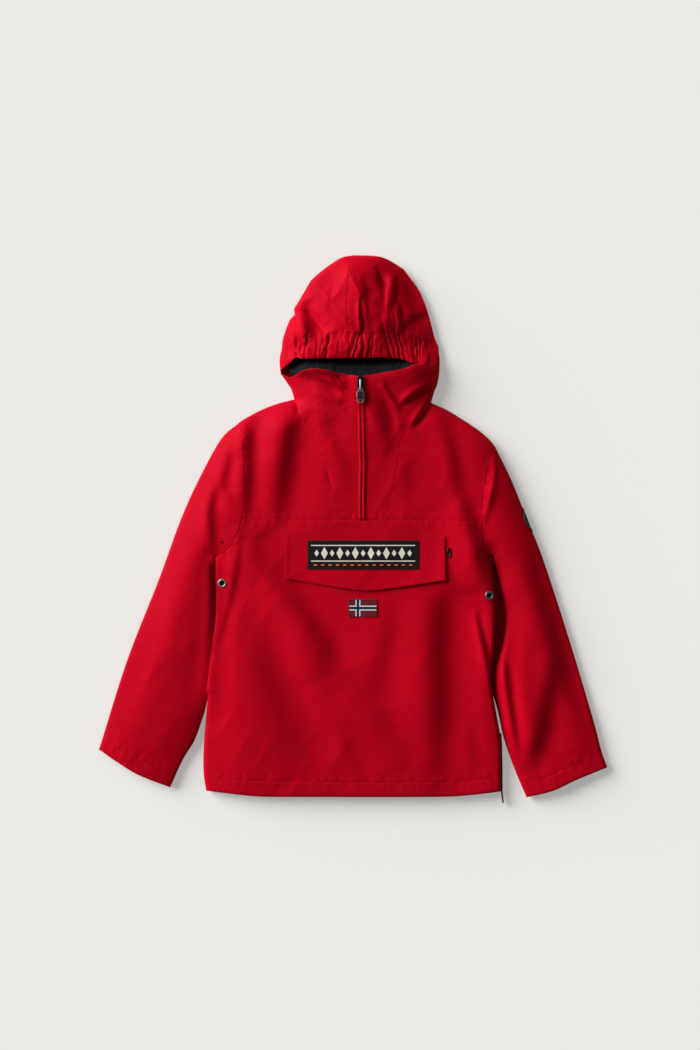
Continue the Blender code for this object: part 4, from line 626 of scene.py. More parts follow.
def beside(places, start, middle, end, room):
    """Rows near a curved line, and each one's gap, side (left of travel is +) and place."""
    start, middle, end = (np.array(place, dtype=float) for place in (start, middle, end))
    control = 2 * middle - (start + end) / 2
    t = np.linspace(0, 1, CURVE_STEPS)[:, None]
    line = (1 - t) ** 2 * start + 2 * t * (1 - t) * control + t ** 2 * end
    near = ((places > line.min(axis=0) - room) & (places < line.max(axis=0) + room)).all(axis=1)
    rows = np.flatnonzero(near)
    starts, runs = line[:-1], np.diff(line, axis=0)
    offsets = places[rows][:, None, :] - starts[None]
    part = np.clip((offsets * runs).sum(axis=2) / (runs ** 2).sum(axis=1), 0, 1)
    gaps = np.sqrt(((offsets - part[:, :, None] * runs) ** 2).sum(axis=2))
    best = gaps.argmin(axis=1)
    pick = np.arange(len(rows))
    way, offset = runs[best], offsets[pick, best]
    turn = (way[:, 0] * offset[:, 1] - way[:, 1] * offset[:, 0]) / np.linalg.norm(way, axis=1)
    gap = gaps[pick, best]
    side = np.clip(turn / np.maximum(gap, TINY), -1, 1)
    return rows, gap, side, (best + part[pick, best]) / len(runs)


def fold_share(places, start, middle, end, left, right, sharp):
    """1 on a fold's line, falling to 0 beside it and towards its ends."""
    share = np.zeros(len(places))
    rows, gap, side, place = beside(places, start, middle, end, FOLD_ROOM * max(left, right))
    width = left + (right - left) * 0.5 * (1 - np.tanh(side * gap))
    taper = np.clip(1 - np.abs(2 * place - 1) ** FOLD_TAPER, 0, 1)
    r = gap / width
    soft = np.exp(-r ** 2)
    crest = np.exp(-CREST_FALL * (np.sqrt(r ** 2 + CREST_ROUND ** 2) - CREST_ROUND))
    rest = np.clip(1 - (r / FOLD_ROOM) ** 4, 0, 1)
    share[rows] = ((1 - sharp) * soft + sharp * crest) * rest * taper
    return share


def slope_share(places, start, middle, end, width):
    """From 1/2 on one side of a line to -1/2 on the other, fading out beyond."""
    share = np.zeros(len(places))
    rows, gap, side, place = beside(places, start, middle, end, SLOPE_ROOM * width)
    taper = np.clip(1 - np.abs(2 * place - 1) ** SLOPE_TAPER, 0, 1)
    share[rows] = (-0.5 * np.tanh(SLOPE_TURN * side * gap / width) * taper
                   * np.exp(-(SLOPE_FADE * gap / width / SLOPE_ROOM) ** 2))
    return share


def gathers(places):
    """Depth of the hood edge's gathers: full in the casing, fading above it."""
    x, y = places.T
    depth = np.zeros(len(places))
    wide, low, high = GATHER_FIELD
    rows = np.flatnonzero((np.abs(x) < wide) & (y > low) & (y < high))
    if not len(rows):
        return depth
    x, y = x[rows], y[rows]
    foot = np.interp(x, *BRIM_EDGE.T)
    head = np.interp(x, *BRIM_LINE.T)
    down = (head - y) / np.maximum(head - foot, 1)
    total = np.zeros(len(rows))
    for high, low, width, rise, reach in GATHERS:
        line = high + (low - high) * np.clip(down, *GATHER_RUN)
        line = line + GATHER_WAVER * noise(np.column_stack([0 * y + high, y]),
                                           GATHER_CELL, GATHER_SEED)
        full = np.where(down > 0, 1.0, np.exp(np.minimum(down, 0) * (head - foot) / reach))
        total -= rise * full * np.exp(-np.abs((x - line) / width) ** GATHER_SHARP)
    band = np.clip(1.2 - np.abs(down - 0.5), 0, 1)
    total += BAND_UNEVEN * band * (ridged(np.column_stack([x, y]), *BAND_NOISE) - 0.7)
    depth[rows] = total * np.clip((y - foot + 3) / 2, 0, 1)
    return depth


def crown_height(places):
    """Height of the cloth between its edges, without folds."""
    weight = np.zeros(len(places))
    height = np.zeros(len(places))
    for _, x, y, rise, hold in CROWN:
        gap = (places[:, 0] - x) ** 2 + (places[:, 1] - y) ** 2
        share = np.exp(-gap / (2 * hold ** 2)) + TINY
        weight += share
        height += share * rise
    x = places[:, 0] - HOOD_CREST
    lean = np.sqrt((x * np.where(x < 0, *HOOD_LEAN)) ** 2 + HOOD_CREST_ROUND ** 2)
    rise = share_between(places[:, 1], *HOOD_START)
    return height / weight - (lean - HOOD_CREST_ROUND) * rise ** 2 * (3 - 2 * rise)


def fall(length, least, reach, quick=1.0):
    """Share of the crown at a distance from an edge: a quick, round rise, then a slow one."""
    gap = np.maximum(length - EDGE_SLACK, 0)
    slow = np.clip(gap / reach, 0.0, 1.0)
    near = np.clip(gap / np.where(quick < 1, np.minimum(QUICK_REACH, reach / 2), reach), 0.0, 1.0)
    rise = (quick * np.sqrt(np.maximum(1 - (1 - near) ** 2, 0.0))
            + (1 - quick) * slow * (2 - slow))
    return least + (1 - least) * rise


def crinkles(places):
    """The small unevenness of a stiff, light cloth."""
    patch = 0.5 + 0.5 * noise(places, *PATCHY)
    middle, small, crisp, fine = (rise * (ridged(places, *kind) - level)
                                  for rise, level, *kind in RIDGES)
    upper = CRISP_LOW + (1 - CRISP_LOW) * np.clip((places[:, 1] - CRISP_FROM) / CRISP_RAMP, 0, 1)
    some = np.clip(0.5 + 1.1 * noise(places, *SOME), 0, 1)
    return (waves(places, *BROAD) + middle * patch + small * patch ** 2
            + (crisp + fine) * upper * some + waves(places, *FINE))


def seam_dip(places, seams):
    """How far sewn lines pull the cloth in, with the puckers beside them."""
    depth = np.zeros(len(places))
    for line, deep, width, pucker, reach in seams:
        length, side, run = line.near(places, max(4 * width, 3 * reach))
        rows = np.flatnonzero(length < FAR)
        if not len(rows):
            continue
        gap, run, side = length[rows], run[rows], side[rows]
        groove = deep * np.exp(-(gap / width) ** 2)
        ways = np.stack([run + 2 * side, 3 * side + gap / 3], axis=1)
        ripple = noise(ways, PUCKER_CELL, PUCKER_SEED) * np.exp(-(gap / reach) ** 1.5)
        depth[rows] += groove + pucker * ripple * np.clip(gap / width, 0, 1)
    return depth


def seat_height(places):
    """Height of the folded edges, which is more where body and arm touch."""
    x, y = places.T
    up = np.clip((y - SEAT_LOW) / SEAT_RAMP, 0, 1) * np.clip((SEAT_HIGH - y) / SEAT_RAMP, 0, 1)
    side = np.exp(-((np.abs(x) - SEAT_PLACE) / SEAT_WIDE) ** 2)
    return FOLD_HEIGHT + np.where(x < 0, *SEAT_RISE) * up * side


def gully_width(places):
    """Width of the low strip of the right sleeve, in the shade of the body."""
    x, y = places.T
    middle, half, width = GULLY
    beyond = x > np.interp(y, TORSO["right"][:, 1], TORSO["right"][:, 0])
    return width * np.exp(-((y - middle) / half) ** 2) * beyond


def height_up(places):
    """Height of the garment's upper side."""
    base = crown_height(places) + crinkles(places) + gathers(places)
    for _, x0, y0, xm, ym, x1, y1, left, right, rise, sharp in FOLDS:
        base = base + rise * fold_share(places, (x0, y0), (xm, ym), (x1, y1),
                                        left, right, sharp)
    for _, x0, y0, xm, ym, x1, y1, width, drop in SLOPES:
        base = base + drop * slope_share(places, (x0, y0), (xm, ym), (x1, y1), width)
    base -= seam_dip(places, UPPER_SEAMS)
    whole = np.ones(len(places))
    for line, least in EDGES:
        length, _, run = line.near(places, REACH_MOST)
        if line is RIGHT_EDGE:
            length = length - gully_width(places)
        whole *= fall(length, least, *(np.interp(run, line.start, row) for row in line.rows))
    seat = seat_height(places)
    height = seat + (base - seat) * whole
    down = np.maximum(np.maximum(SLIDER_SPAN[0] - places[:, 1], places[:, 1] - SLIDER_SPAN[1]), 0)
    gap = np.hypot(places[:, 0] - AXIS[0], down)
    bed = SLIDER_BED + (places[:, 1] - AXIS[1]) * math.tan(TILT)
    return height + (bed - height) * np.exp(-(gap / SLIDER_CALM) ** 3)


def height_down(places):
    """Height of the garment's underside, which lies on the floor."""
    length = np.full(len(places), FAR)
    for line in SIDE_EDGES:
        length = np.minimum(length, line.near(places, UNDER_REACH)[0])
    share = fall(length, 0.0, UNDER_REACH, UNDER_QUICK)
    gap = np.linalg.norm(places - BADGE_CENTRE, axis=1) / BADGE_ROOM_REACH
    room = BADGE_ROOM * (1 - np.clip(gap, 0, 1) ** 2) ** 2
    ripple = np.maximum(waves(places, *UNDER_RIPPLE) - UNDER_LEVEL, 0)
    dips = np.maximum(ripple + seam_dip(places, LOWER_SEAMS), 0)
    return seat_height(places) * (1 - share) + (room + dips) * share


def on(places, height):
    """Places in space and directions on a height field."""
    places = np.asarray(places, dtype=float)
    level = height(places)
    slope = [(level - height(places + step)) / PROBE
             for step in (np.array([PROBE, 0.0]), np.array([0.0, PROBE]))]
    return (np.column_stack([places, level]),
            unit(np.stack([slope[0], slope[1], np.ones(len(places))], axis=1)))


def add_height(places, height, rise=0.0):
    """Places in space on a height field or above it."""
    return np.column_stack([places, height(places) + rise])


# ================================================================= mesh tools
def add_piece(name, points, faces, material, node=None, body=GARMENT,
              smooth_skin=True):
    """A mesh piece from millimetre points that rides on a body."""
    mesh = bpy.data.meshes.new(name)
    mesh.from_pydata((np.asarray(points) * MM).tolist(), [],
                     [tuple(int(n) for n in face) for face in faces])
    mesh.materials.append(material)
    if smooth_skin:
        mesh.shade_smooth()
    piece = bpy.data.objects.new(name, mesh)
    bpy.context.scene.collection.objects.link(piece)
    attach(piece, body)
    if node:
        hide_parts(*([node] if isinstance(node, str) else node))
    return piece


def numbered(rows, cols, first=0):
    """A grid of point numbers."""
    return first + np.arange(rows * cols).reshape(rows, cols)


def looped(numbers):
    """The same, closed to a ring across."""
    return np.column_stack([numbers, numbers[:, 0]])


def quads(numbers):
    """Quads over a grid of point numbers."""
    return np.stack([numbers[:-1, :-1], numbers[:-1, 1:], numbers[1:, 1:], numbers[1:, :-1]],
                    axis=2).reshape(-1, 4)


def face_turns(points, faces):
    """Twice the area of each of a skin's quads, as a vector across it."""
    a, b, c, d = (points[faces[:, k]] for k in range(4))
    return np.cross(c - a, d - b)


def normals_of(points, faces):
    """Directions of a skin at its points."""
    turn = face_turns(points, faces)
    normals = np.zeros_like(points)
    for k in range(4):
        np.add.at(normals, faces[:, k], turn)
    return normals / np.maximum(np.linalg.norm(normals, axis=1), TINY)[:, None]


def rim_of(faces):
    """The edges that only one face uses, in its direction."""
    edges = np.vstack([faces[:, [k, (k + 1) % 4]] for k in range(4)])
    keys = edges[:, 0] * (faces.max() + 1) + edges[:, 1]
    back = edges[:, 1] * (faces.max() + 1) + edges[:, 0]
    return edges[~np.isin(keys, back)]


def shell(outer, faces, thickness=CLOTH, free=None):
    """Points and faces of a cloth of some thickness below a skin.

    free is each point's distance to the nearest free edge, where the cloth
    rounds over instead of ending square.
    """
    normals = normals_of(outer, faces)
    full = np.ones(len(outer))
    if free is not None:
        q = np.clip(free / ROLL, 0, 1)
        full = ROLL_LEFT + (1 - ROLL_LEFT) * np.sqrt(1 - (1 - q) ** 2)
    sink = thickness / 2 * (1 - full)
    high = outer - sink[:, None] * normals
    low = outer - (thickness - sink)[:, None] * normals
    for skin in (high, low):
        skin[:, 2] = np.maximum(skin[:, 2], 0)
    count = len(outer)
    rim = rim_of(faces)
    sides = np.stack([rim[:, 1], rim[:, 0], count + rim[:, 0], count + rim[:, 1]], axis=1)
    return np.vstack([high, low]), np.vstack([faces, count + faces[:, ::-1], sides])


def edge_gap(grid, sides):
    """Distance of a grid's points from some of its sides."""
    gap = np.full(grid.shape[:2], FAR)
    for side in sides:
        lines = grid.transpose(1, 0, 2) if side in SIDES else grid
        if side in ("top", "right"):
            lines = lines[::-1]
        steps = np.linalg.norm(np.diff(lines, axis=0), axis=2)
        run = np.vstack([np.zeros(lines.shape[1]), np.cumsum(steps, axis=0)])
        if side in ("top", "right"):
            run = run[::-1]
        gap = np.minimum(gap, run.T if side in SIDES else run)
    return gap.ravel()


def cloth_panel(node, grid, height, material, free=(), up=True, thickness=CLOTH):
    """A cut piece laid on a height field, as a thin shell in place of its solid."""
    outer = add_height(grid.reshape(-1, 2), height)
    skin = quads(numbered(*grid.shape[:2]))
    if (normals_of(outer, skin)[:, 2].mean() > 0) != up:
        skin = skin[:, ::-1]
    whole = outer.reshape(*grid.shape[:2], 3)
    points, faces = shell(outer, skin, thickness, edge_gap(whole, free) if free else None)
    piece = add_piece("cloth_" + node, points, faces, material, node)
    piece.data.set_sharp_from_angle(angle=math.radians(RIM_TURN))


# =================================================================== the cloth
def seam_lines():
    """The lines that neighbouring pieces share along their seams."""
    seams = {}
    for side in SIDES:
        high, low = split_at_height(ARMHOLE[side], YOKE_SEAM_Y[side])
        seams["high", side] = along(high, spread(ARM_HIGH, start=True))
        seams["low", side] = along(low, spread(ARM_LOW, end=True))
        seams["torso", side] = along(TORSO[side], spread(TORSO_ROWS, start=True))
    corners = (seams["high", "left"][-1], NECK_SEAM["left"][0], ZIP_LINE[0],
               NECK_SEAM["right"][0], seams["high", "right"][-1])
    names = (("yoke", "left"), ("neck", "left"), ("neck", "right"), ("yoke", "right"))
    for name, start, end in zip(names, corners, corners[1:]):
        seams[name] = np.array([start, end])
    seams["yoke seam"] = chain(*(seams[name] for name in names))
    return seams


def body_grid(top, columns, *holes):
    """A grid from the hem up to a line, past some parts of the armholes."""
    top = along(top, spread(columns, start=True, end=True))
    sides = [chain(SEAMS["torso", side], *(SEAMS[hole, side][::-1] for hole in holes))
             for side in SIDES]
    return fill(along(HEM, shares_of(top)), top, *sides)


def build_body():
    """The front below the yoke seam, and the whole back."""
    cloth_panel("front_lower", body_grid(SEAMS["yoke seam"], BODY_COLUMNS, "low"), height_up,
                RED, free=("bottom",))
    top = chain(SHOULDER["left"], NECK_BACK, SHOULDER["right"])
    grid = body_grid(top, BACK_COLUMNS, "low", "high")
    grid[..., 0] *= 1 - SIDE_SEAM_STEP / np.abs(grid[..., 0]).max()
    cloth_panel("back_panel", grid, height_down, RED, free=("bottom",), up=False)


def build_yokes():
    """The front's two parts between the yoke seam and the shoulders."""
    for side in SIDES:
        foot = along(SEAMS["yoke", side], spread_out(side, YOKE_COLUMNS))
        grid = fill_side(side, foot, along(SHOULDER[side], shares_of(foot)),
                         SEAMS["high", side][::-1],
                         along(NECK_SEAM[side], spread(ARM_HIGH, end=True)))
        cloth_panel("yoke_" + side, grid, height_up, RED)


def build_neck():
    """The two neck panels, each cut in one with its half of the collar."""
    for side in SIDES:
        shift = SIGN[side] * ZIP_HALF_GAP
        at_zip = -1 if side == "left" else 0
        outer = chain(along(NECK_SEAM[side], spread(NECK_ROWS, end=True)),
                      along(NECK_SIDE[side], spread(COLLAR_ROWS, end=True)))
        middle = along(ZIP_LINE, shares_of(outer)) + np.array([shift, 0])
        foot, top = SEAMS["neck", side].copy(), COLLAR[side].copy()
        foot[at_zip, 0] += shift
        top[at_zip] = middle[-1]
        across = spread_out(side, NECK_COLUMNS)
        grid = fill_side(side, along(foot, across), along(top, across), outer, middle)
        cloth_panel("neck_panel_" + side, grid, height_up, RED,
                    free=("top",))


def touch_share(places):
    """How much a sleeve's inner edge tucks under the body's, from its height on the arm."""
    y = places[..., 1]
    return (np.clip((y - SEAT_LOW) / SEAT_RAMP, 0, 1)
            * np.clip((TOUCH_TOP - y) / TOUCH_RAMP, 0, 1))


def build_sleeves():
    """Both sleeves, each one tube that is open at its armhole and its cuff."""
    for side in SIDES:
        hole = chain(SEAMS["high", side], SEAMS["low", side])
        arm = along(SLEEVE_IN[side], spread(SLEEVE_ROWS, end=True))
        arm[:, 0] -= SIGN[side] * TOUCH * touch_share(arm)
        cap = along(hole[:CAP_CELLS + 1], spread(SLEEVE_COLUMNS, start=True))
        cuff = along(CUFF[side], spread(SLEEVE_COLUMNS, start=True, end=True))
        right = chain(hole[CAP_CELLS:], arm)
        left = along(SLEEVE_OUT[side], shares_of(right))
        tube("sleeve_" + side, fill(cap, cuff, left, right), len(hole) - CAP_CELLS - 1)


def tube(node, grid, open_rows):
    """A sleeve: two skins that meet along its folded edges."""
    rows, cols = grid.shape[:2]
    top, low = (add_height(grid.reshape(-1, 2), height).reshape(rows, cols, 3)
                for height in (height_up, height_down))
    tuck = (np.interp(grid[..., 1], *TUCK) * touch_share(grid)
            * np.exp(-((grid[..., 0] - grid[:, -1:, 0]) / TUCK_REACH) ** 2))
    top[..., 2] = np.maximum(top[..., 2] - tuck, np.minimum(top[..., 2], TUCK_FLOOR))
    low[..., 2] = np.minimum(low[..., 2], top[..., 2])
    front = numbered(rows, cols)
    back = front + rows * cols
    back[:, 0] = front[:, 0]
    back[open_rows:, -1] = front[open_rows:, -1]
    outer = np.vstack([top.reshape(-1, 3), low.reshape(-1, 3)])
    faces, under = quads(front), quads(back)
    if normals_of(outer, faces)[:rows * cols, 2].mean() < 0:
        faces = faces[:, ::-1]
    else:
        under = under[:, ::-1]
    used, skin = np.unique(np.vstack([faces, under]), return_inverse=True)
    skin = skin.reshape(-1, 4)
    gap = np.concatenate([edge_gap(top, ("top",)), edge_gap(low, ("top",))])
    points, faces = shell(outer[used], skin, CLOTH, gap[used])
    nodes = [node + part for part in ("", "_back", "_lower", "_lower_back")]
    piece = add_piece("cloth_" + node, points, faces, RED, nodes)
    piece.data.set_sharp_from_angle(angle=math.radians(RIM_TURN))


def build_hood():
    """The hood's two sides, its gathered casing and its back."""
    centre = along(HOOD_CENTRE, spread(HOOD_CELLS, end=True))
    for side in SIDES:
        across = spread_out(side, HOOD_CELLS)
        grid = fill_side(side, along(BRIM_SEAM[side], across), along(HOOD_TOP[side], across),
                         along(HOOD_SIDE[side], spread(HOOD_CELLS, end=True)), centre)
        cloth_panel("hood_" + side, grid, height_up, RED)

    across = spread(BRIM_CELLS, start=True, end=True, cluster=BRIM_CLUSTER)
    rows = np.linspace(0, 1, BRIM_ROWS + 1)
    grid = fill(along(BRIM_EDGE, across), along(BRIM_LINE, across),
                *(along(BRIM_END[side], rows) for side in SIDES))
    cloth_panel("hood_brim", grid, height_up, RED, free=("bottom",))

    cols, rows = HOOD_BACK_CELLS
    across = spread(cols, start=True, end=True)
    top = chain(HOOD_TOP["left"], HOOD_TOP["right"])
    grid = fill(along(NECK_BACK, across), along(top, across),
                *(along(HOOD_OUTSIDE[side], spread(rows, end=True)) for side in SIDES))
    cloth_panel("hood_back", grid, height_down, RED, up=False)


def lining_height(places):
    """The fleece: under the collar's edge, then down into the hood."""
    x, y = places.T
    inward = np.clip((y - np.interp(x, *COLLAR_LINE.T)) / LINING_RUN, -1, 1.4)
    sink = LINING_LOW + LINING_DROP * np.maximum(inward, 0) ** 1.3
    sink = sink + (LINING_SHADE * (1 - share_between(x, *LINING_WIDE))
                   * np.maximum(inward, 0))
    share = fall(TOP_EDGE.near(places, REACH_MOST)[0], 0.0, LINING_FALL)
    whole = FOLD_HEIGHT + (crown_height(places) - FOLD_HEIGHT - sink) * share
    for kind in LINING_FOLDS:
        whole += waves(places, *kind)
    whole = np.minimum(whole, height_up(places) - LINING_ROOM)
    return np.maximum(whole, height_down(places) + LINING_FLOOR)


def build_lining():
    """The fleece that shows in the face opening."""
    cols, rows = LINING_CELLS
    y = np.linspace(*LINING_ROWS, rows + 1)
    left, right = ((np.interp(y, HOOD_OUTSIDE[side][:, 1], HOOD_OUTSIDE[side][:, 0])
                    - SIGN[side] * LINING_EDGE)[:, None] for side in SIDES)
    share = spread(cols, start=True, end=True, cluster=LINING_CLUSTER)[None, :]
    x = left + (right - left) * share
    grid = np.stack([x, np.repeat(y[:, None], cols + 1, axis=1)], axis=2)
    cloth_panel("hood_lining", grid, lining_height, FLEECE)


def flap_grid(margin=0.0):
    """Places of the pocket flap, with a point at its lower edge."""
    low = np.array(FLAP_POINT) + margin * np.array([[1, 1], [0, 1], [-1, 1]])
    high = np.array(FLAP_TOP) + margin * np.array([[1, -1], [-1, -1]])
    cols, rows = FLAP_CELLS
    half, steps = (np.linspace(0, 1, cells + 1) for cells in (cols // 2, rows))
    bottom = chain(along(low[:2], half), along(low[1:], half))
    bottom = (bottom + along(smooth(*low), shares_of(bottom))) / 2
    return fill(bottom, along(high, shares_of(bottom)),
                *(along(np.array([low[at], high[at]]), steps) for at in (0, -1)))


def flap_height(places):
    """Height of the flap's upper side: over the front, lifted to the lower right."""
    x, y = places.T
    down = np.clip((FLAP_TOP[0][1] - y) / FLAP_TALL, 0, 1.2)
    across = share_between(x, FLAP_TOP[0][0], FLAP_TOP[1][0])
    lift = FLAP_LIFT * down ** 2 + FLAP_CORNER_LIFT * down ** 1.5 * across ** 5
    lift += FLAP_END_LIFT * np.exp(-(np.minimum(across, 1 - across) / FLAP_END) ** 2)
    return height_up(places) + FLAP_ROOM + lift


def build_flap():
    """The flap over the chest pocket, sewn on along its upper edge."""
    cloth_panel("pocket_flap", flap_grid(), flap_height, RED,
                free=("bottom", "left", "right"))


# ================================================================ the trimming
def rectangle(box, cells, margin=0.0):
    """An even grid over a rectangle, and over a margin round it."""
    x0, y0, x1, y1 = box
    xs, ys = np.meshgrid(np.linspace(x0 - margin, x1 + margin, cells[0] + 1),
                         np.linspace(y0 - margin, y1 + margin, cells[1] + 1))
    return np.stack([xs, ys], axis=2)


def corners_of(x0, y0, x1, y1, inset=0.0):
    """A rectangle's corners, some way inside it."""
    x0, y0, x1, y1 = x0 + inset, y0 + inset, x1 - inset, y1 - inset
    return [(x0, y0), (x1, y0), (x1, y1), (x0, y1)]


def decal(name, shapes, height, rise, material, cell=2.0):
    """Flat four-sided shapes laid on a height field, each cut into small faces."""
    points, faces = [], []
    for corners in np.array(shapes, dtype=float):
        wide, tall = (max(np.linalg.norm(corners[b] - corners[a]),
                          np.linalg.norm(corners[d] - corners[c]))
                      for a, b, c, d in ((0, 1, 3, 2), (0, 3, 1, 2)))
        cols, rows = (max(1, int(np.ceil(size / cell))) for size in (wide, tall))
        u = np.linspace(0, 1, cols + 1)[None, :, None]
        v = np.linspace(0, 1, rows + 1)[:, None, None]
        grid = ((1 - v) * ((1 - u) * corners[0] + u * corners[1])
                + v * ((1 - u) * corners[3] + u * corners[2])).reshape(-1, 2)
        faces += quads(numbered(rows + 1, cols + 1, len(points))).tolist()
        points += add_height(grid, height, rise).tolist()
    add_piece(name, points, faces, material)


STITCH = np.array([(0, 2, 4), (0, 4, 3), (0, 3, 5), (0, 5, 2),
                   (1, 4, 2), (1, 3, 4), (1, 5, 3), (1, 2, 5)])


def stitches(name, path, height, material, rise=THREAD_RISE, pitch=3.2, size=(2.5, 0.5)):
    """A row of small stitches along a path on a height field."""
    count = max(2, int(long(path) / pitch))
    middles = along(path, (np.arange(count) + 0.5) / count)
    ways = unit(along(path, (np.arange(count) + 0.7) / count) - middles)
    spots, normals = on(middles, height)
    ways = np.column_stack([ways, np.zeros(count)])
    ways = unit(ways - (ways * normals).sum(axis=1)[:, None] * normals)
    sides = np.cross(normals, ways)
    half, thick = size[0] / 2, size[1] / 2
    base = spots + rise * normals
    points = np.stack([base - half * ways, base + half * ways, base + thick * sides,
                       base - thick * sides, base + thick * normals,
                       base - thick * normals], axis=1).reshape(-1, 3)
    faces = (6 * np.arange(count)[:, None, None] + STITCH[None]).reshape(-1, 3)
    add_piece(name, points, faces, material)


def sweep(name, rows, material, node=None, body=GARMENT, closed=False):
    """A skin through equal closed sections, with closed ends."""
    rows = np.asarray(rows)
    count, around = rows.shape[:2]
    numbers = looped(numbered(count, around))
    if closed:
        numbers = np.vstack([numbers, numbers[0]])
    faces = quads(numbers).tolist()
    if not closed:
        faces += [list(range(around))[::-1],
                  list(range((count - 1) * around, count * around))]
    add_piece(name, rows.reshape(-1, 3), faces, material, node, body=body)


BOX_FACES = ((0, 1, 2, 3), (4, 5, 6, 7), (0, 1, 5, 4), (1, 2, 6, 5), (2, 3, 7, 6),
             (3, 0, 4, 7))


def boxes(name, points):
    """Zip teeth, each from eight points."""
    faces = [[8 * number + corner for corner in face]
             for number in range(len(points) // 8) for face in BOX_FACES]
    add_piece(name, points, faces, DARK_THREAD, smooth_skin=False)


def patch_height(places):
    """Height of a patch on the front."""
    return height_up(places) + PATCH_ROOM


def label_height(places):
    """Height of the label on the flap."""
    return flap_height(places) + PATCH_ROOM


def build_patch(node, box, cells, margin, height, material):
    """A patch that is sewn flat on the cloth, free on all sides."""
    cloth_panel(node, rectangle(box, cells, margin), height, material,
                free=("bottom", "left", "right", "top"), thickness=PATCH_CLOTH)


def build_label():
    """A black label with a woven band of diamonds and a row of dashes; no words."""
    x0, y0, x1, y1 = LABEL_BOX
    build_patch("label_patch", LABEL_BOX, LABEL_CELLS, 0.0, label_height, BLACK)
    tall = y1 - y0
    middle = y0 + tall * LABEL_MIDDLE
    step = (x1 - x0 - 2 * LABEL_MARGIN) / LABEL_DIAMONDS
    shapes = []
    for number in range(LABEL_DIAMONDS):
        x = x0 + LABEL_MARGIN + step * (number + 0.5)
        half, high = np.array(DIAMOND_SIZES[number % 2]) * (step, tall)
        shapes.append([(x, middle - high), (x + half, middle), (x, middle + high),
                       (x - half, middle)])
    side = LABEL_MARGIN - LABEL_LINE_OUT
    shapes += [corners_of(x0 + side, middle + tall * low, x1 - side,
                          middle + tall * low + LABEL_LINE) for low in LABEL_LINES]
    decal("label_diamonds", shapes, label_height, THREAD_RISE, CREAM)
    line = y0 + tall * DASH_PLACE
    shapes = [corners_of(x - DASH_HALF, line, x + DASH_HALF, line + DASH_TALL)
              for x in np.linspace(x0 + DASH_MARGIN, x1 - DASH_MARGIN, LABEL_DASHES)]
    decal("label_dashes", shapes, label_height, THREAD_RISE, ORANGE)
    hem = corners_of(*LABEL_BOX, LABEL_HEM)
    stitches("label_stitches", hem + hem[:1], label_height, BLACK_THREAD,
             pitch=2.6, size=(2.0, 0.4))


def build_flag():
    """A woven flag patch: a white-edged blue cross on a wine red field."""
    x0, y0, x1, y1 = FLAG_BOX
    columns, lines = ((start, at - FLAG_WHITE, at - FLAG_BLUE, at + FLAG_BLUE,
                       at + FLAG_WHITE, end)
                      for start, at, end in zip((x0, y0), FLAG_CROSS, (x1, y1)))
    build_patch("flag_patch", FLAG_BOX, FLAG_CELLS, FLAG_HEM, patch_height, WINE)
    bands = [("flag_blue", NAVY, []), ("flag_white", WHITE, []), ("flag_red", WINE_WOVEN, [])]
    for col in range(5):
        for row in range(5):
            near = min(abs(col - 2), abs(row - 2))
            bands[near][2].append(corners_of(columns[col], lines[row],
                                             columns[col + 1], lines[row + 1]))
    for name, material, shapes in bands[::-1]:
        decal(name, shapes, patch_height, 0.1, material, cell=1.5)
    hem = corners_of(*FLAG_BOX)
    stitches("flag_stitches", hem + hem[:1], patch_height, WINE,
             rise=0.16, pitch=1.3, size=(1.5, 0.9))


def build_eyelets():
    """Two metal rings round the drawcord's holes, and a bare hole above the left one; each hole
    is a flat black disc of painted shade.
    """
    cosines, sines = np.cos(turns(16)), np.sin(turns(16))
    for name, place in EYELETS.items():
        (spot,), (normal,) = on([place], height_up)
        across = unit(np.cross([0, 1, 0], normal))
        upward = np.cross(normal, across)
        ring = EYELET_MIDDLE + EYELET_WIDE * cosines
        rise = EYELET_RISE + EYELET_TALL * sines
        rows = [spot + ring[:, None] * (math.cos(turn) * across + math.sin(turn) * upward)
                + rise[:, None] * normal for turn in turns(48)]
        sweep(name + "_ring", rows, PEWTER, name, closed=True)
        # the hole inside the ring: a flat black disc of painted shade just above the cloth
        disc = (spot + HOLE_RISE * normal
                + EYELET_MIDDLE * (np.cos(turns(32))[:, None] * across
                                   + np.sin(turns(32))[:, None] * upward))
        add_piece(name + "_hole", disc, [list(range(32))], PAINTED_HOLE_SHADE)
    # the bare hole: the same painted shade, as a flat black disc on the cloth
    x, y, wide, tall = SMALL_HOLE
    places = np.column_stack([x + wide * cosines, y + tall * sines])
    add_piece("thread_hole", add_height(places, height_up, HOLE_RISE), [list(range(16))], PAINTED_HOLE_SHADE)


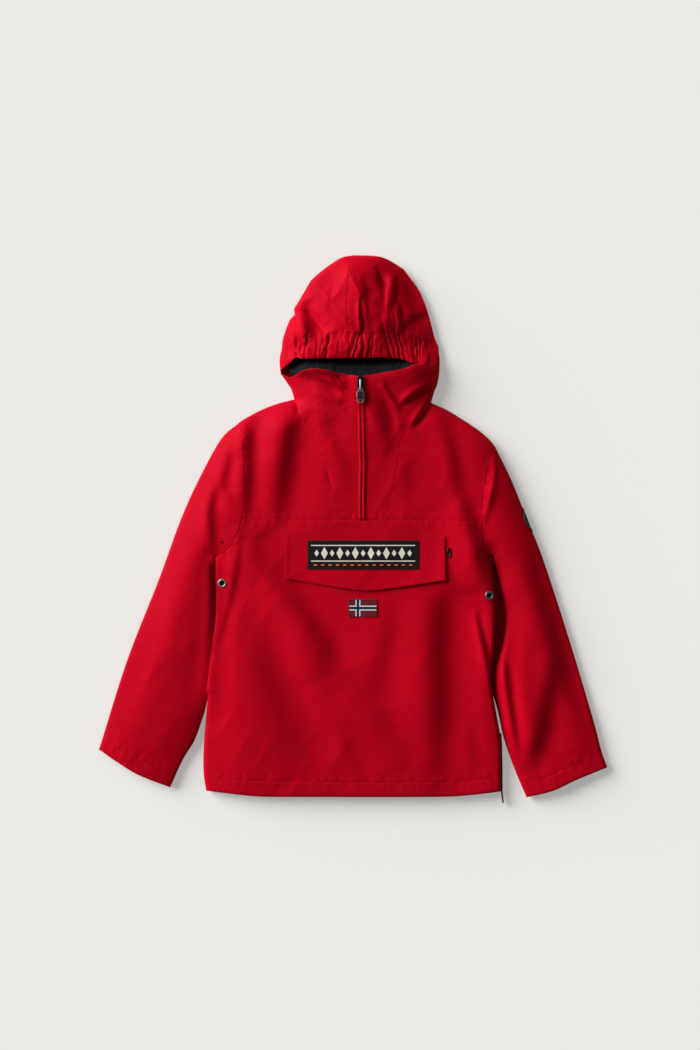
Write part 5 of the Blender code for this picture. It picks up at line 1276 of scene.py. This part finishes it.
def build_badge():
    """A round badge wrapped over the sleeve's outer fold."""
    line = SLEEVE_OUT["right"]
    start, ahead = along(line, [BADGE_PLACE, BADGE_PLACE + BADGE_AHEAD])
    tangent = unit(ahead - start)
    inward = np.array([tangent[1], -tangent[0]])
    over, under, step = BADGE_SECTION
    section = step * np.concatenate([np.arange(over, -1, -1), np.arange(1, under + 1)])
    spots = start + np.maximum(section, 0.01)[:, None] * inward
    level = np.concatenate([height_up(spots[:over + 1]), height_down(spots[over + 1:])])
    level[over] = FOLD_HEIGHT
    path = np.column_stack([section, level])
    run = np.concatenate([[0.0], np.cumsum(np.linalg.norm(np.diff(path, axis=0), axis=1))])
    run -= run[over]
    down = np.arange(*BADGE_RUN)
    path = np.stack([np.interp(down, run, row) for row in path.T], axis=1)
    path[1:-1] = (path[:-2] + 2 * path[1:-1] + path[2:]) / 4
    slope = np.gradient(path, axis=0)
    length = long(line)

    def spot_at(radius, turn, rise):
        lower = BADGE_RADIUS - BADGE_SHOWN + radius * math.sin(turn)
        gap, height = (np.interp(lower, down, row) for row in path.T)
        bend = unit(np.array([np.interp(lower, down, row) for row in slope.T]))
        place = along(line, [BADGE_PLACE + radius * math.cos(turn) / length])[0]
        flat = place + (gap + rise * bend[1]) * inward
        return flat[0], flat[1], height - rise * bend[0]

    for name, material, node, bulge in (("badge_cloth", BLACK, "sleeve_badge", 0.0),
                                        ("badge_rim", BLACK_THREAD, None, BADGE_BULGE)):
        start, end, count = BADGE_RINGS[name]
        rows = [[spot_at(radius, turn, BADGE_RISE + bulge * math.sin(math.pi * share))
                 for turn in turns(BADGE_AROUND)]
                for radius, share in zip(np.linspace(start, end, count),
                                         np.linspace(0, 1, count))]
        skin = quads(looped(numbered(count, BADGE_AROUND)))
        points = np.array(rows).reshape(-1, 3)
        if normals_of(points, skin)[BADGE_AROUND // 2, 0] < 0:
            skin = skin[:, ::-1]
        points, faces = shell(points, skin, BADGE_CLOTH)
        piece = add_piece(name, points, faces, material, node)


def zip_x(y):
    """x of the zip's centre line, with the slight waver of its sewing."""
    waver = waves(np.column_stack([np.zeros(len(y)), y]), *ZIP_WAVER)
    return np.interp(y, ZIP_LINE[:, 1], ZIP_LINE[:, 0]) + waver


def build_zip():
    """The covered front zip: two piped lips that nearly meet over the coil."""
    start, end = ZIP_LINE[0, 1] + ZIP_FOOT, AXIS[1] - SLIDER_FRONT - LIP_END
    y = np.linspace(start, end, LIP_ROWS)
    middle = zip_x(y)
    bend = np.linspace(0, math.pi, 11)
    for side in SIDES:
        sign = SIGN[side]
        out = LIP_SLOT + LIP_WIDTH / 2
        wide = LIP_WIDTH / 2 * (1 + waves(np.column_stack([y * 0 + 9 * sign, y]), *LIP_UNEVEN))
        level = np.minimum(*(height_up(np.column_stack([middle + sign * far, y]))
                             for far in (out, out + LIP_SEW))) - LIP_SUNK
        x = (middle + sign * out)[:, None] + wide[:, None] * np.cos(bend)
        z = (level + LIP_BASE)[:, None] + LIP_HEIGHT * np.sin(bend) ** 0.8
        root = (level - LIP_ROOT)[:, None]
        x, z = np.hstack([x, x[:, -1:], x[:, :1]]), np.hstack([z, root, root])
        rows = np.stack([x, np.repeat(y[:, None], x.shape[1], axis=1), z], axis=2)
        sweep("lip_" + side, rows, RED, "zip_lip_" + side)
        path = np.column_stack([middle + sign * (LIP_WIDTH + LIP_SLOT + LIP_SEW), y])
        stitches("lip_stitches_" + side, path, height_up, RED_THREAD)

    y = np.linspace(start + 1, COLLAR["left"][-1, 1] - TAPE_END, TAPE_ROWS)
    middle = zip_x(y)
    level = height_up(np.column_stack([middle, y])) - TAPE_SUNK
    across = np.linspace(-TAPE_HALF, TAPE_HALF, 5)
    rows = [[(x + out, place, z) for out in across]
            + [(x + out, place, z - TAPE_THICK) for out in across[::-1]]
            for x, place, z in zip(middle, y, level)]
    sweep("tape", rows, BLACK, "zip_tape")

    points = []
    spots = np.arange(start + TOOTH_MARGIN, end - TOOTH_MARGIN, TOOTH_PITCH)
    near, far = TOOTH_ENDS
    for number, place in enumerate(spots):
        x = float(np.interp(place, y, middle))
        z = float(np.interp(place, y, level)) + TOOTH_LIFT
        sign = -1 if number % 2 else 1
        for half, rise in TOOTH_SECTION:
            for dx, dy in ((near, -half), (far, -half), (far, half), (near, half)):
                points.append((x + sign * dx, place + dy, z + rise))
    boxes("zip_teeth", points)


def placed(points):
    """Slider coordinates carried to their place on the garment."""
    c, s = math.cos(TILT), math.sin(TILT)
    x, y, z = np.asarray(points, dtype=float).T
    return np.column_stack([AXIS[0] + x, AXIS[1] + y * c - z * s, AXIS[2] + y * s + z * c])


def plate(name, outlines, low, high, bevel, material, node=None, body=GARMENT):
    """A metal plate with rounded rims, cut from outlines that may be holes."""
    curve = bpy.data.curves.new(name + "_cut", "CURVE")
    curve.dimensions = "2D"
    curve.fill_mode = "BOTH"
    curve.extrude = (high - low) / 2 * MM - bevel * MM
    curve.bevel_depth = bevel * MM
    curve.bevel_resolution = 2
    curve.offset = -bevel * MM
    for outline_points in outlines:
        spline = curve.splines.new("POLY")
        spline.points.add(len(outline_points) - 1)
        spline.use_cyclic_u = True
        for point, (x, y) in zip(spline.points, outline_points):
            point.co = (x * MM, y * MM, 0, 1)
    shape = bpy.data.objects.new(name + "_cut", curve)
    bpy.context.scene.collection.objects.link(shape)
    mesh = bpy.data.meshes.new_from_object(
        shape.evaluated_get(bpy.context.evaluated_depsgraph_get()))
    bpy.data.objects.remove(shape, do_unlink=True)
    bpy.data.curves.remove(curve)
    points = np.array([vertex.co for vertex in mesh.vertices]) / MM
    points[:, 2] += (low + high) / 2
    faces = [list(face.vertices) for face in mesh.polygons]
    bpy.data.meshes.remove(mesh)
    piece = add_piece(name, placed(points), faces, material, node, body=body)
    piece.data.set_sharp_from_angle(angle=math.radians(35))


def arc(x, y, radius, start):
    """Points on a quarter of a circle, from an angle in degrees."""
    angles = np.radians(np.linspace(start, start + 90, ARC_POINTS))
    return [(x + radius * math.cos(turn), y + radius * math.sin(turn)) for turn in angles]


def round_box(x0, y0, x1, y1, radius):
    """A rectangle with rounded corners."""
    left, right, low, high = x0 + radius, x1 - radius, y0 + radius, y1 - radius
    return (arc(right, high, radius, 0) + arc(left, high, radius, 90)
            + arc(left, low, radius, 180) + arc(right, low, radius, 270))


def squared(value):
    """A sine or cosine for a section between a circle and a square."""
    return math.copysign(abs(value) ** HOOP_SQUARE, value)


def build_slider():
    """The front zip's slider: two plates, the wedge between them, and the bridge."""
    half, front, back = SLIDER_WIDTH / 2, SLIDER_FRONT, SLIDER_BACK
    low, high = SLIDER_BODY
    # x, y of two corners and the corner radius, then underside, top and bevel
    for name, box, under, upper, bevel, node in (
            ("slider_base", (-half, -front, half, back, 2.4), low, low + 1.0, 0.3,
             "zip_slider"),
            ("slider_top", (-half + 0.3, -front + 0.3, half - 0.3, back - 0.4, 2.6),
             high - 1.1, high, 0.35, None),
            ("slider_core", (-1.6, back - 9, 1.6, back - 2, 1.2),
             low + 0.8, high - 0.9, 0.1, None)):
        plate(name, [round_box(*box)], under, upper, bevel, GUNMETAL, node)
    end, top = HOOP_HALF_LENGTH - HOOP_HALF_THICK, HOOP_TOP - 0.75
    bend = np.linspace(0, math.pi / 2, 6)
    path = [(-end, high - 0.3)]
    path += [(-end + HOOP_BEND * (1 - math.cos(turn)), top - HOOP_BEND * (1 - math.sin(turn)))
             for turn in bend]
    path += [(end - HOOP_BEND * (1 - math.sin(turn)), top - HOOP_BEND * (1 - math.cos(turn)))
             for turn in bend]
    path += [(end + 1.0, high + 1.2), (SPINE_END - 2, high + 0.7), (SPINE_END, high - 0.3)]
    path = np.array(path)
    rows = []
    for (y, z), (way_y, way_z) in zip(path, unit(np.gradient(path, axis=0))):
        rises = [HOOP_HALF_THICK * squared(math.sin(turn)) for turn in turns(12)]
        sides = [HOOP_WIDTH / 2 * squared(math.cos(turn)) for turn in turns(12)]
        rows.append(placed([(side, y - way_z * rise, z + way_y * rise)
                            for side, rise in zip(sides, rises)]))
    sweep("slider_bridge", rows, SILVER)


def build_pull():
    """The pull tab: a slotted plate on a round bar under the slider's bridge."""
    half, neck, low = PULL_WIDTH / 2, PULL_NECK, -PULL_LENGTH
    start, end = PULL_FLARE
    slot, mouth, foot = PULL_SLOT
    thick = PULL_THICKNESS / 2
    corner = PULL_CORNER
    around = ([(-neck, mouth), (-neck, start), (-half, end)]
              + arc(-half + corner, low + corner, corner, 180)
              + arc(half - corner, low + corner, corner, 270)
              + [(half, end), (neck, start), (neck, mouth), (slot, mouth), (slot, foot),
                 (-slot, foot), (-slot, mouth)])
    wide, foot_edge, head_edge, bend = PULL_WINDOW
    window = round_box(-wide, low + foot_edge, wide, low + head_edge, bend)
    plate("pull_plate", [around, window], -thick, thick, PULL_BEVEL, STEEL, "zip_pull",
          body=PULL)
    inset, above, below, bend = PULL_FACE
    face = round_box(-half + inset, low + above, half - inset, end - below, bend)
    for name, bottom, top in (("pull_face", thick - FACE_DEEP, thick + FACE_PROUD),
                              ("pull_back", -thick - FACE_PROUD, -thick + FACE_DEEP)):
        plate(name, [face], bottom, top, 0.05, DULL, body=PULL)
    rows = [placed([(x, radius * math.cos(turn), radius * math.sin(turn))
                    for turn in turns(16)])
            for x, radius in ((-neck, BAR_RADIUS - 0.3), (-neck + 0.3, BAR_RADIUS),
                              (neck - 0.3, BAR_RADIUS), (neck, BAR_RADIUS - 0.3))]
    sweep("pull_bar", rows, STEEL, body=PULL)
    for side in SIDES:
        sign = SIGN[side]
        arm = [(sign * neck, -1.6), (sign * neck, 0), (sign * slot, 0), (sign * slot, -1.6)]
        plate("pull_arm_" + side, [arm[::sign]], -thick, thick, 0.1, STEEL, body=PULL)


def build_pocket_pull():
    """The loop at the end of the pocket's zip, beside the flap."""
    place, (wide, tall) = np.array([POCKET_PULL]), LOOP_HALF
    places = place + np.column_stack([wide * np.cos(turns(48)), tall * np.sin(turns(48))])
    level = np.maximum(height_up(places), height_up(place)) + LOOP_WIRE + LOOP_LIFT
    rows = []
    for (x, y), turn, z in zip(places, turns(48), level):
        out = LOOP_WIRE * unit(np.array([tall * math.cos(turn), wide * math.sin(turn)]))
        rows.append([(x + math.cos(s) * out[0], y + math.cos(s) * out[1],
                      z + LOOP_WIRE * math.sin(s)) for s in turns(10)])
    sweep("pocket_loop", rows, GUNMETAL, "pocket_zip_pull", closed=True)


def build_side_zip():
    """The side opening's zip along the right side's fold, and its free tail."""
    _, upper = split_at_height(TORSO["right"][::-1], SIDE_ZIP_TOP)
    path = along(np.vstack([upper, np.array(SIDE_ZIP_TAIL)]), np.linspace(0, 1, 90))
    tangent = np.gradient(path, axis=0)
    across = unit(np.stack([-tangent[:, 1], tangent[:, 0]], axis=1))
    across *= np.sign(across[:, :1])
    half = SIDE_ZIP_HEIGHT / 2
    section = ((-0.3, -half), (0.8, -half + 0.3), (1.1, -0.8), (1.6, -0.5),
               (1.6, 0.5), (1.1, 0.8), (0.8, half - 0.3), (-0.3, half))
    rows = [[(*(place + out * way), FOLD_HEIGHT + rise) for out, rise in section]
            for place, way in zip(path, across)]
    sweep("side_zip_tape", rows, BLACK, "side_zip")
    shares = np.arange(0, 1, SIDE_TOOTH_PITCH / long(path))
    wide, tall = SIDE_TOOTH_HALF
    points = []
    for place, way in zip(along(path, shares), along(across, shares)):
        run = np.array([-way[1], way[0]])
        points += [(*(place + out * way + ahead * run), FOLD_HEIGHT + rise)
                   for out in SIDE_TOOTH_ENDS
                   for ahead, rise in corners_of(-wide, -tall, wide, tall)]
    boxes("side_zip_teeth", points)


def moved(line, x, y):
    """A line shifted on the plan."""
    return line + np.array([x, y])


def build_stitches():
    """The sewing that shows beside the seams, on both sides of the garment.

    A few places are left off at the ends of a line, where it meets another seam.
    """
    upper = {"yoke_stitches_%d" % number: moved(SEAMS["yoke seam"], 0, sew)
             for number, sew in enumerate(YOKE_SEWS)}
    upper.update({"hem_stitches": HEM_STITCH[4:-4],
                  "brim_stitches": moved(BRIM_LINE, 0, BRIM_SEW)[8:-8],
                  "brim_edge_stitches": moved(BRIM_EDGE, 0, BRIM_EDGE_SEW)[10:-10],
                  "hood_stitches": moved(HOOD_CENTRE, HOOD_SEW, 0)[2:-4],
                  "collar_stitches": moved(COLLAR_LINE, 0, COLLAR_SEW)[8:-8]})
    lower = {"hem_back_stitches": HEM_STITCH[12:-12]}
    for side in SIDES:
        inward = SIDE_SEW * SIGN[side]
        hole, cuff = moved(ARMHOLE[side], inward, 0)[6:-12], CUFF_STITCH[side][4:-4]
        upper["neck_stitches_" + side] = moved(NECK_SEAM[side], inward, 0)
        upper["armhole_stitches_" + side] = hole
        lower["armhole_back_stitches_" + side] = hole
        upper["cuff_stitches_" + side] = cuff
        lower["cuff_back_stitches_" + side] = cuff[6:-6]
    for name, line in upper.items():
        stitches(name, line, height_up, RED_THREAD)
    for name, line in lower.items():
        stitches(name, line, height_down, RED_THREAD, rise=-THREAD_RISE)
    for number, inset in enumerate(FLAP_SEWS):
        inner = flap_grid(inset)
        line = np.vstack([inner[:, 0][::-1], inner[0][1:], inner[1:, -1], inner[-1][::-1]])
        stitches("flap_stitches_%d" % number, line, flap_height, RED_THREAD,
                 rise=FLAP_SEW_RISE)


# ================================================================ the finishes
def finish(name, colour, roughness, metallic=0.0, specular=0.3, bump=None, shade=None):
    """A material with optional fine relief and slight uneven shade."""
    material = bpy.data.materials.new(name)
    material.use_nodes = True
    nodes, links = material.node_tree.nodes, material.node_tree.links
    shader = nodes["Principled BSDF"]
    shader.inputs["Base Color"].default_value = (*colour, 1.0)
    for socket, value in (("Roughness", roughness), ("Metallic", metallic),
                          ("Specular IOR Level", specular), ("Sheen Weight", 0.0),
                          ("Sheen Roughness", 0.5)):
        shader.inputs[socket].default_value = value
    place = nodes.new("ShaderNodeTexCoord")

    def grain(scale, detail):
        texture = nodes.new("ShaderNodeTexNoise")
        texture.inputs["Scale"].default_value = scale
        texture.inputs["Detail"].default_value = detail
        links.new(place.outputs["Object"], texture.inputs["Vector"])
        return texture.outputs["Fac"]

    if bump:
        scale, strength, distance = bump
        relief = nodes.new("ShaderNodeBump")
        relief.inputs["Strength"].default_value = strength
        relief.inputs["Distance"].default_value = distance
        links.new(grain(scale, 3.0), relief.inputs["Height"])
        links.new(relief.outputs["Normal"], shader.inputs["Normal"])
    if shade:
        scale, low, high = shade
        ramp = nodes.new("ShaderNodeMix")
        ramp.data_type = "RGBA"
        ramp.inputs[6].default_value = tuple(c * low for c in colour) + (1.0,)
        ramp.inputs[7].default_value = tuple(c * high for c in colour) + (1.0,)
        links.new(grain(scale, 4.0), ramp.inputs[0])
        links.new(ramp.outputs[2], shader.inputs["Base Color"])
    return material


def stand(name, data):
    """An object of the set, not of the garment."""
    item = bpy.data.objects.new(name, data)
    bpy.context.scene.collection.objects.link(item)
    return item


WEAVE = (1800, 0.3, 0.0003)
COARSE_WEAVE = (1800, 0.4, 0.0003)
RED = finish("shell_red", (0.37, 0.0, 0.0088), 0.6, specular=0.025,
             bump=(2600, 0.12, 0.0003), shade=(60, 0.95, 1.04))
RED_THREAD = finish("red_thread", (0.34, 0.0, 0.0095), 0.65, specular=0.06)
FLEECE = finish("fleece", (0.0062, 0.0068, 0.0082), 0.95, specular=0.05,
                bump=(300, 1.0, 0.003), shade=(160, 0.05, 2.6))
BLACK = finish("black_cloth", (0.006, 0.006, 0.007), 0.85, specular=0.12, bump=WEAVE)
BLACK_THREAD = finish("black_thread", (0.018, 0.018, 0.019), 0.55, specular=0.4,
                      bump=(1500, 0.5, 0.0004))
DARK_THREAD = finish("zip_coil", (0.02, 0.02, 0.022), 0.4, specular=0.5)
CREAM = finish("cream_thread", (0.60, 0.57, 0.47), 0.8, specular=0.2, bump=WEAVE)
ORANGE = finish("orange_thread", (0.72, 0.11, 0.02), 0.75, specular=0.2)
WINE = finish("wine_thread", (0.13, 0.008, 0.022), 0.8, specular=0.2)
WINE_WOVEN = finish("wine_woven", (0.095, 0.006, 0.012), 0.85, specular=0.15,
                    bump=COARSE_WEAVE, shade=(900, 0.7, 1.4))
WHITE = finish("white_woven", (0.55, 0.53, 0.52), 0.85, specular=0.15,
               bump=COARSE_WEAVE, shade=(900, 0.8, 1.15))
NAVY = finish("navy_woven", (0.005, 0.014, 0.033), 0.85, specular=0.15, bump=COARSE_WEAVE)
GUNMETAL = finish("gunmetal", (0.025, 0.025, 0.027), 0.36, metallic=1.0)
DULL = finish("dull_metal", (0.055, 0.048, 0.048), 0.45, metallic=1.0)
PEWTER = finish("pewter", (0.17, 0.165, 0.16), 0.42, metallic=1.0)
STEEL = finish("steel", (0.36, 0.35, 0.34), 0.30, metallic=1.0)
SILVER = finish("silver", (0.42, 0.42, 0.41), 0.34, metallic=1.0)
# painted shade for the holes: flat near-black discs where the holes' own shadow would be
PAINTED_HOLE_SHADE = finish("painted_hole_shade", (0.002, 0.002, 0.002), 0.9, specular=0.05)
PAPER = finish("paper", FLOOR_COLOUR, 0.9, specular=0.1)

# ================================================= lines that many pieces share
SEAMS = seam_lines()
BRIM_LINE = chain(BRIM_SEAM["left"], BRIM_SEAM["right"])
COLLAR_LINE = chain(COLLAR["left"], COLLAR["right"])
HOOD_OUTSIDE = {side: chain(NECK_SIDE[side], BRIM_END[side], HOOD_SIDE[side])
                for side in SIDES}
BADGE_CENTRE = along(SLEEVE_OUT["right"], [BADGE_PLACE])[0]
# each part: line, width of the rise at its start and at its end, quick share
TOP_EDGE = outline(
    (SLEEVE_OUT["left"][::-1], 50, 56, 0.1), (SHOULDER["left"], 50, 44, 0.15),
    (NECK_SIDE["left"], 42, 50, 0.15), (BRIM_END["left"], 50, 40, 0.3),
    (HOOD_SIDE["left"], 34, 30, 0.2), (HOOD_TOP["left"], 30, 40, 0.2),
    (HOOD_TOP["right"], 40, 34, 0.3), (HOOD_SIDE["right"][::-1], 30, 34, 0.4),
    (BRIM_END["right"][::-1], 40, 50, 0.4), (NECK_SIDE["right"][::-1], 50, 40, 0.4),
    (SHOULDER["right"], 40, 46, 0.4), (SLEEVE_OUT["right"], 50, 60, 0.35))
LEFT_EDGE = outline((SLEEVE_IN["left"][::-1], 60, 30, 0.3), (TORSO["left"][::-1], 20, 60, 0.4))
RIGHT_EDGE = outline((SLEEVE_IN["right"][::-1], 50, 40, 0.45),
                     (TORSO["right"][::-1], 14, 30, 0.8))
SIDE_EDGES = (TOP_EDGE, LEFT_EDGE, RIGHT_EDGE)
EDGES = ([(line, 0.0) for line in SIDE_EDGES]
         + [(outline((line, OPEN_EDGE_REACH, OPEN_EDGE_REACH, 1.0)), OPEN_EDGE_SHARE)
            for line in (CUFF["left"], CUFF["right"], HEM)])
# line, depth, width, pucker, how far the puckers reach
BOTH_SEAMS = [(Line(line), *sewn) for line, *sewn in (
    (ARMHOLE["left"], 0.22, 1.2, 0.8, 9), (ARMHOLE["right"], 0.22, 1.2, 0.8, 9),
    (HEM_STITCH, 0.45, 1.2, 0.6, 9),
    (CUFF_STITCH["left"], 0.5, 1.2, 0.8, 9), (CUFF_STITCH["right"], 0.5, 1.2, 0.8, 9))]
UPPER_SEAMS = BOTH_SEAMS + [(Line(line), *sewn) for line, *sewn in (
    (SEAMS["yoke seam"], 0.5, 1.2, 0.7, 8),
    (NECK_SEAM["left"], 0.1, 1.0, 0.5, 7), (NECK_SEAM["right"], 0.1, 1.0, 0.5, 7),
    (HOOD_CENTRE, 0.5, 1.0, 0.4, 5), (BRIM_LINE, 0.3, 1.0, 0.9, 7))]
LOWER_SEAMS = BOTH_SEAMS + [(Line(NECK_BACK), 1.3, 1.7, 0.7, 8)]

# ======================================================================= build
for light in [item for item in bpy.data.objects if item.type == "LIGHT"]:
    bpy.data.objects.remove(light, do_unlink=True)
for build in (build_body, build_yokes, build_neck, build_sleeves, build_hood, build_lining,
              build_flap, build_label, build_flag, build_eyelets, build_badge, build_zip,
              build_slider, build_pull, build_pocket_pull, build_side_zip, build_stitches):
    build()

floor_mesh = bpy.data.meshes.new("floor")
floor_mesh.from_pydata([(x, y, FLOOR_LEVEL) for x, y in corners_of(
    -FLOOR_HALF, -FLOOR_HALF, FLOOR_HALF, FLOOR_HALF)], [], [(0, 1, 2, 3)])
paper_shader = PAPER.node_tree.nodes["Principled BSDF"]
paper_shader.inputs["Emission Color"].default_value = (*FLOOR_COLOUR, 1)
paper_shader.inputs["Emission Strength"].default_value = FLOOR_GLOW
floor_mesh.materials.append(PAPER)
stand("floor", floor_mesh)

azimuth, rise = (math.radians(angle) for angle in KEY_WAY)
key_data = bpy.data.lights.new("key", "SUN")
key_data.energy = KEY_STRENGTH
key_data.angle = math.radians(KEY_SOFT)
key = stand("key", key_data)
key.location = [KEY_FAR * part for part in (math.cos(rise) * math.cos(azimuth),
                                            math.cos(rise) * math.sin(azimuth),
                                            math.sin(rise))]
key.rotation_euler = (-key.location).to_track_quat("-Z", "Y").to_euler()
world = bpy.data.worlds.new("pale")
world.use_nodes = True
backdrop = world.node_tree.nodes["Background"]
backdrop.inputs["Color"].default_value = (*WORLD_COLOUR, 1)
backdrop.inputs["Strength"].default_value = WORLD_STRENGTH
bpy.context.scene.world = world
bpy.context.scene.view_settings.view_transform = "Standard"

camera_data = bpy.data.cameras.new("camera")
camera_data.sensor_width = CAMERA_SENSOR
camera_data.lens = CAMERA_LENS
camera = stand("camera", camera_data)
camera.location = CAMERA_PLACE
bpy.context.scene.camera = camera
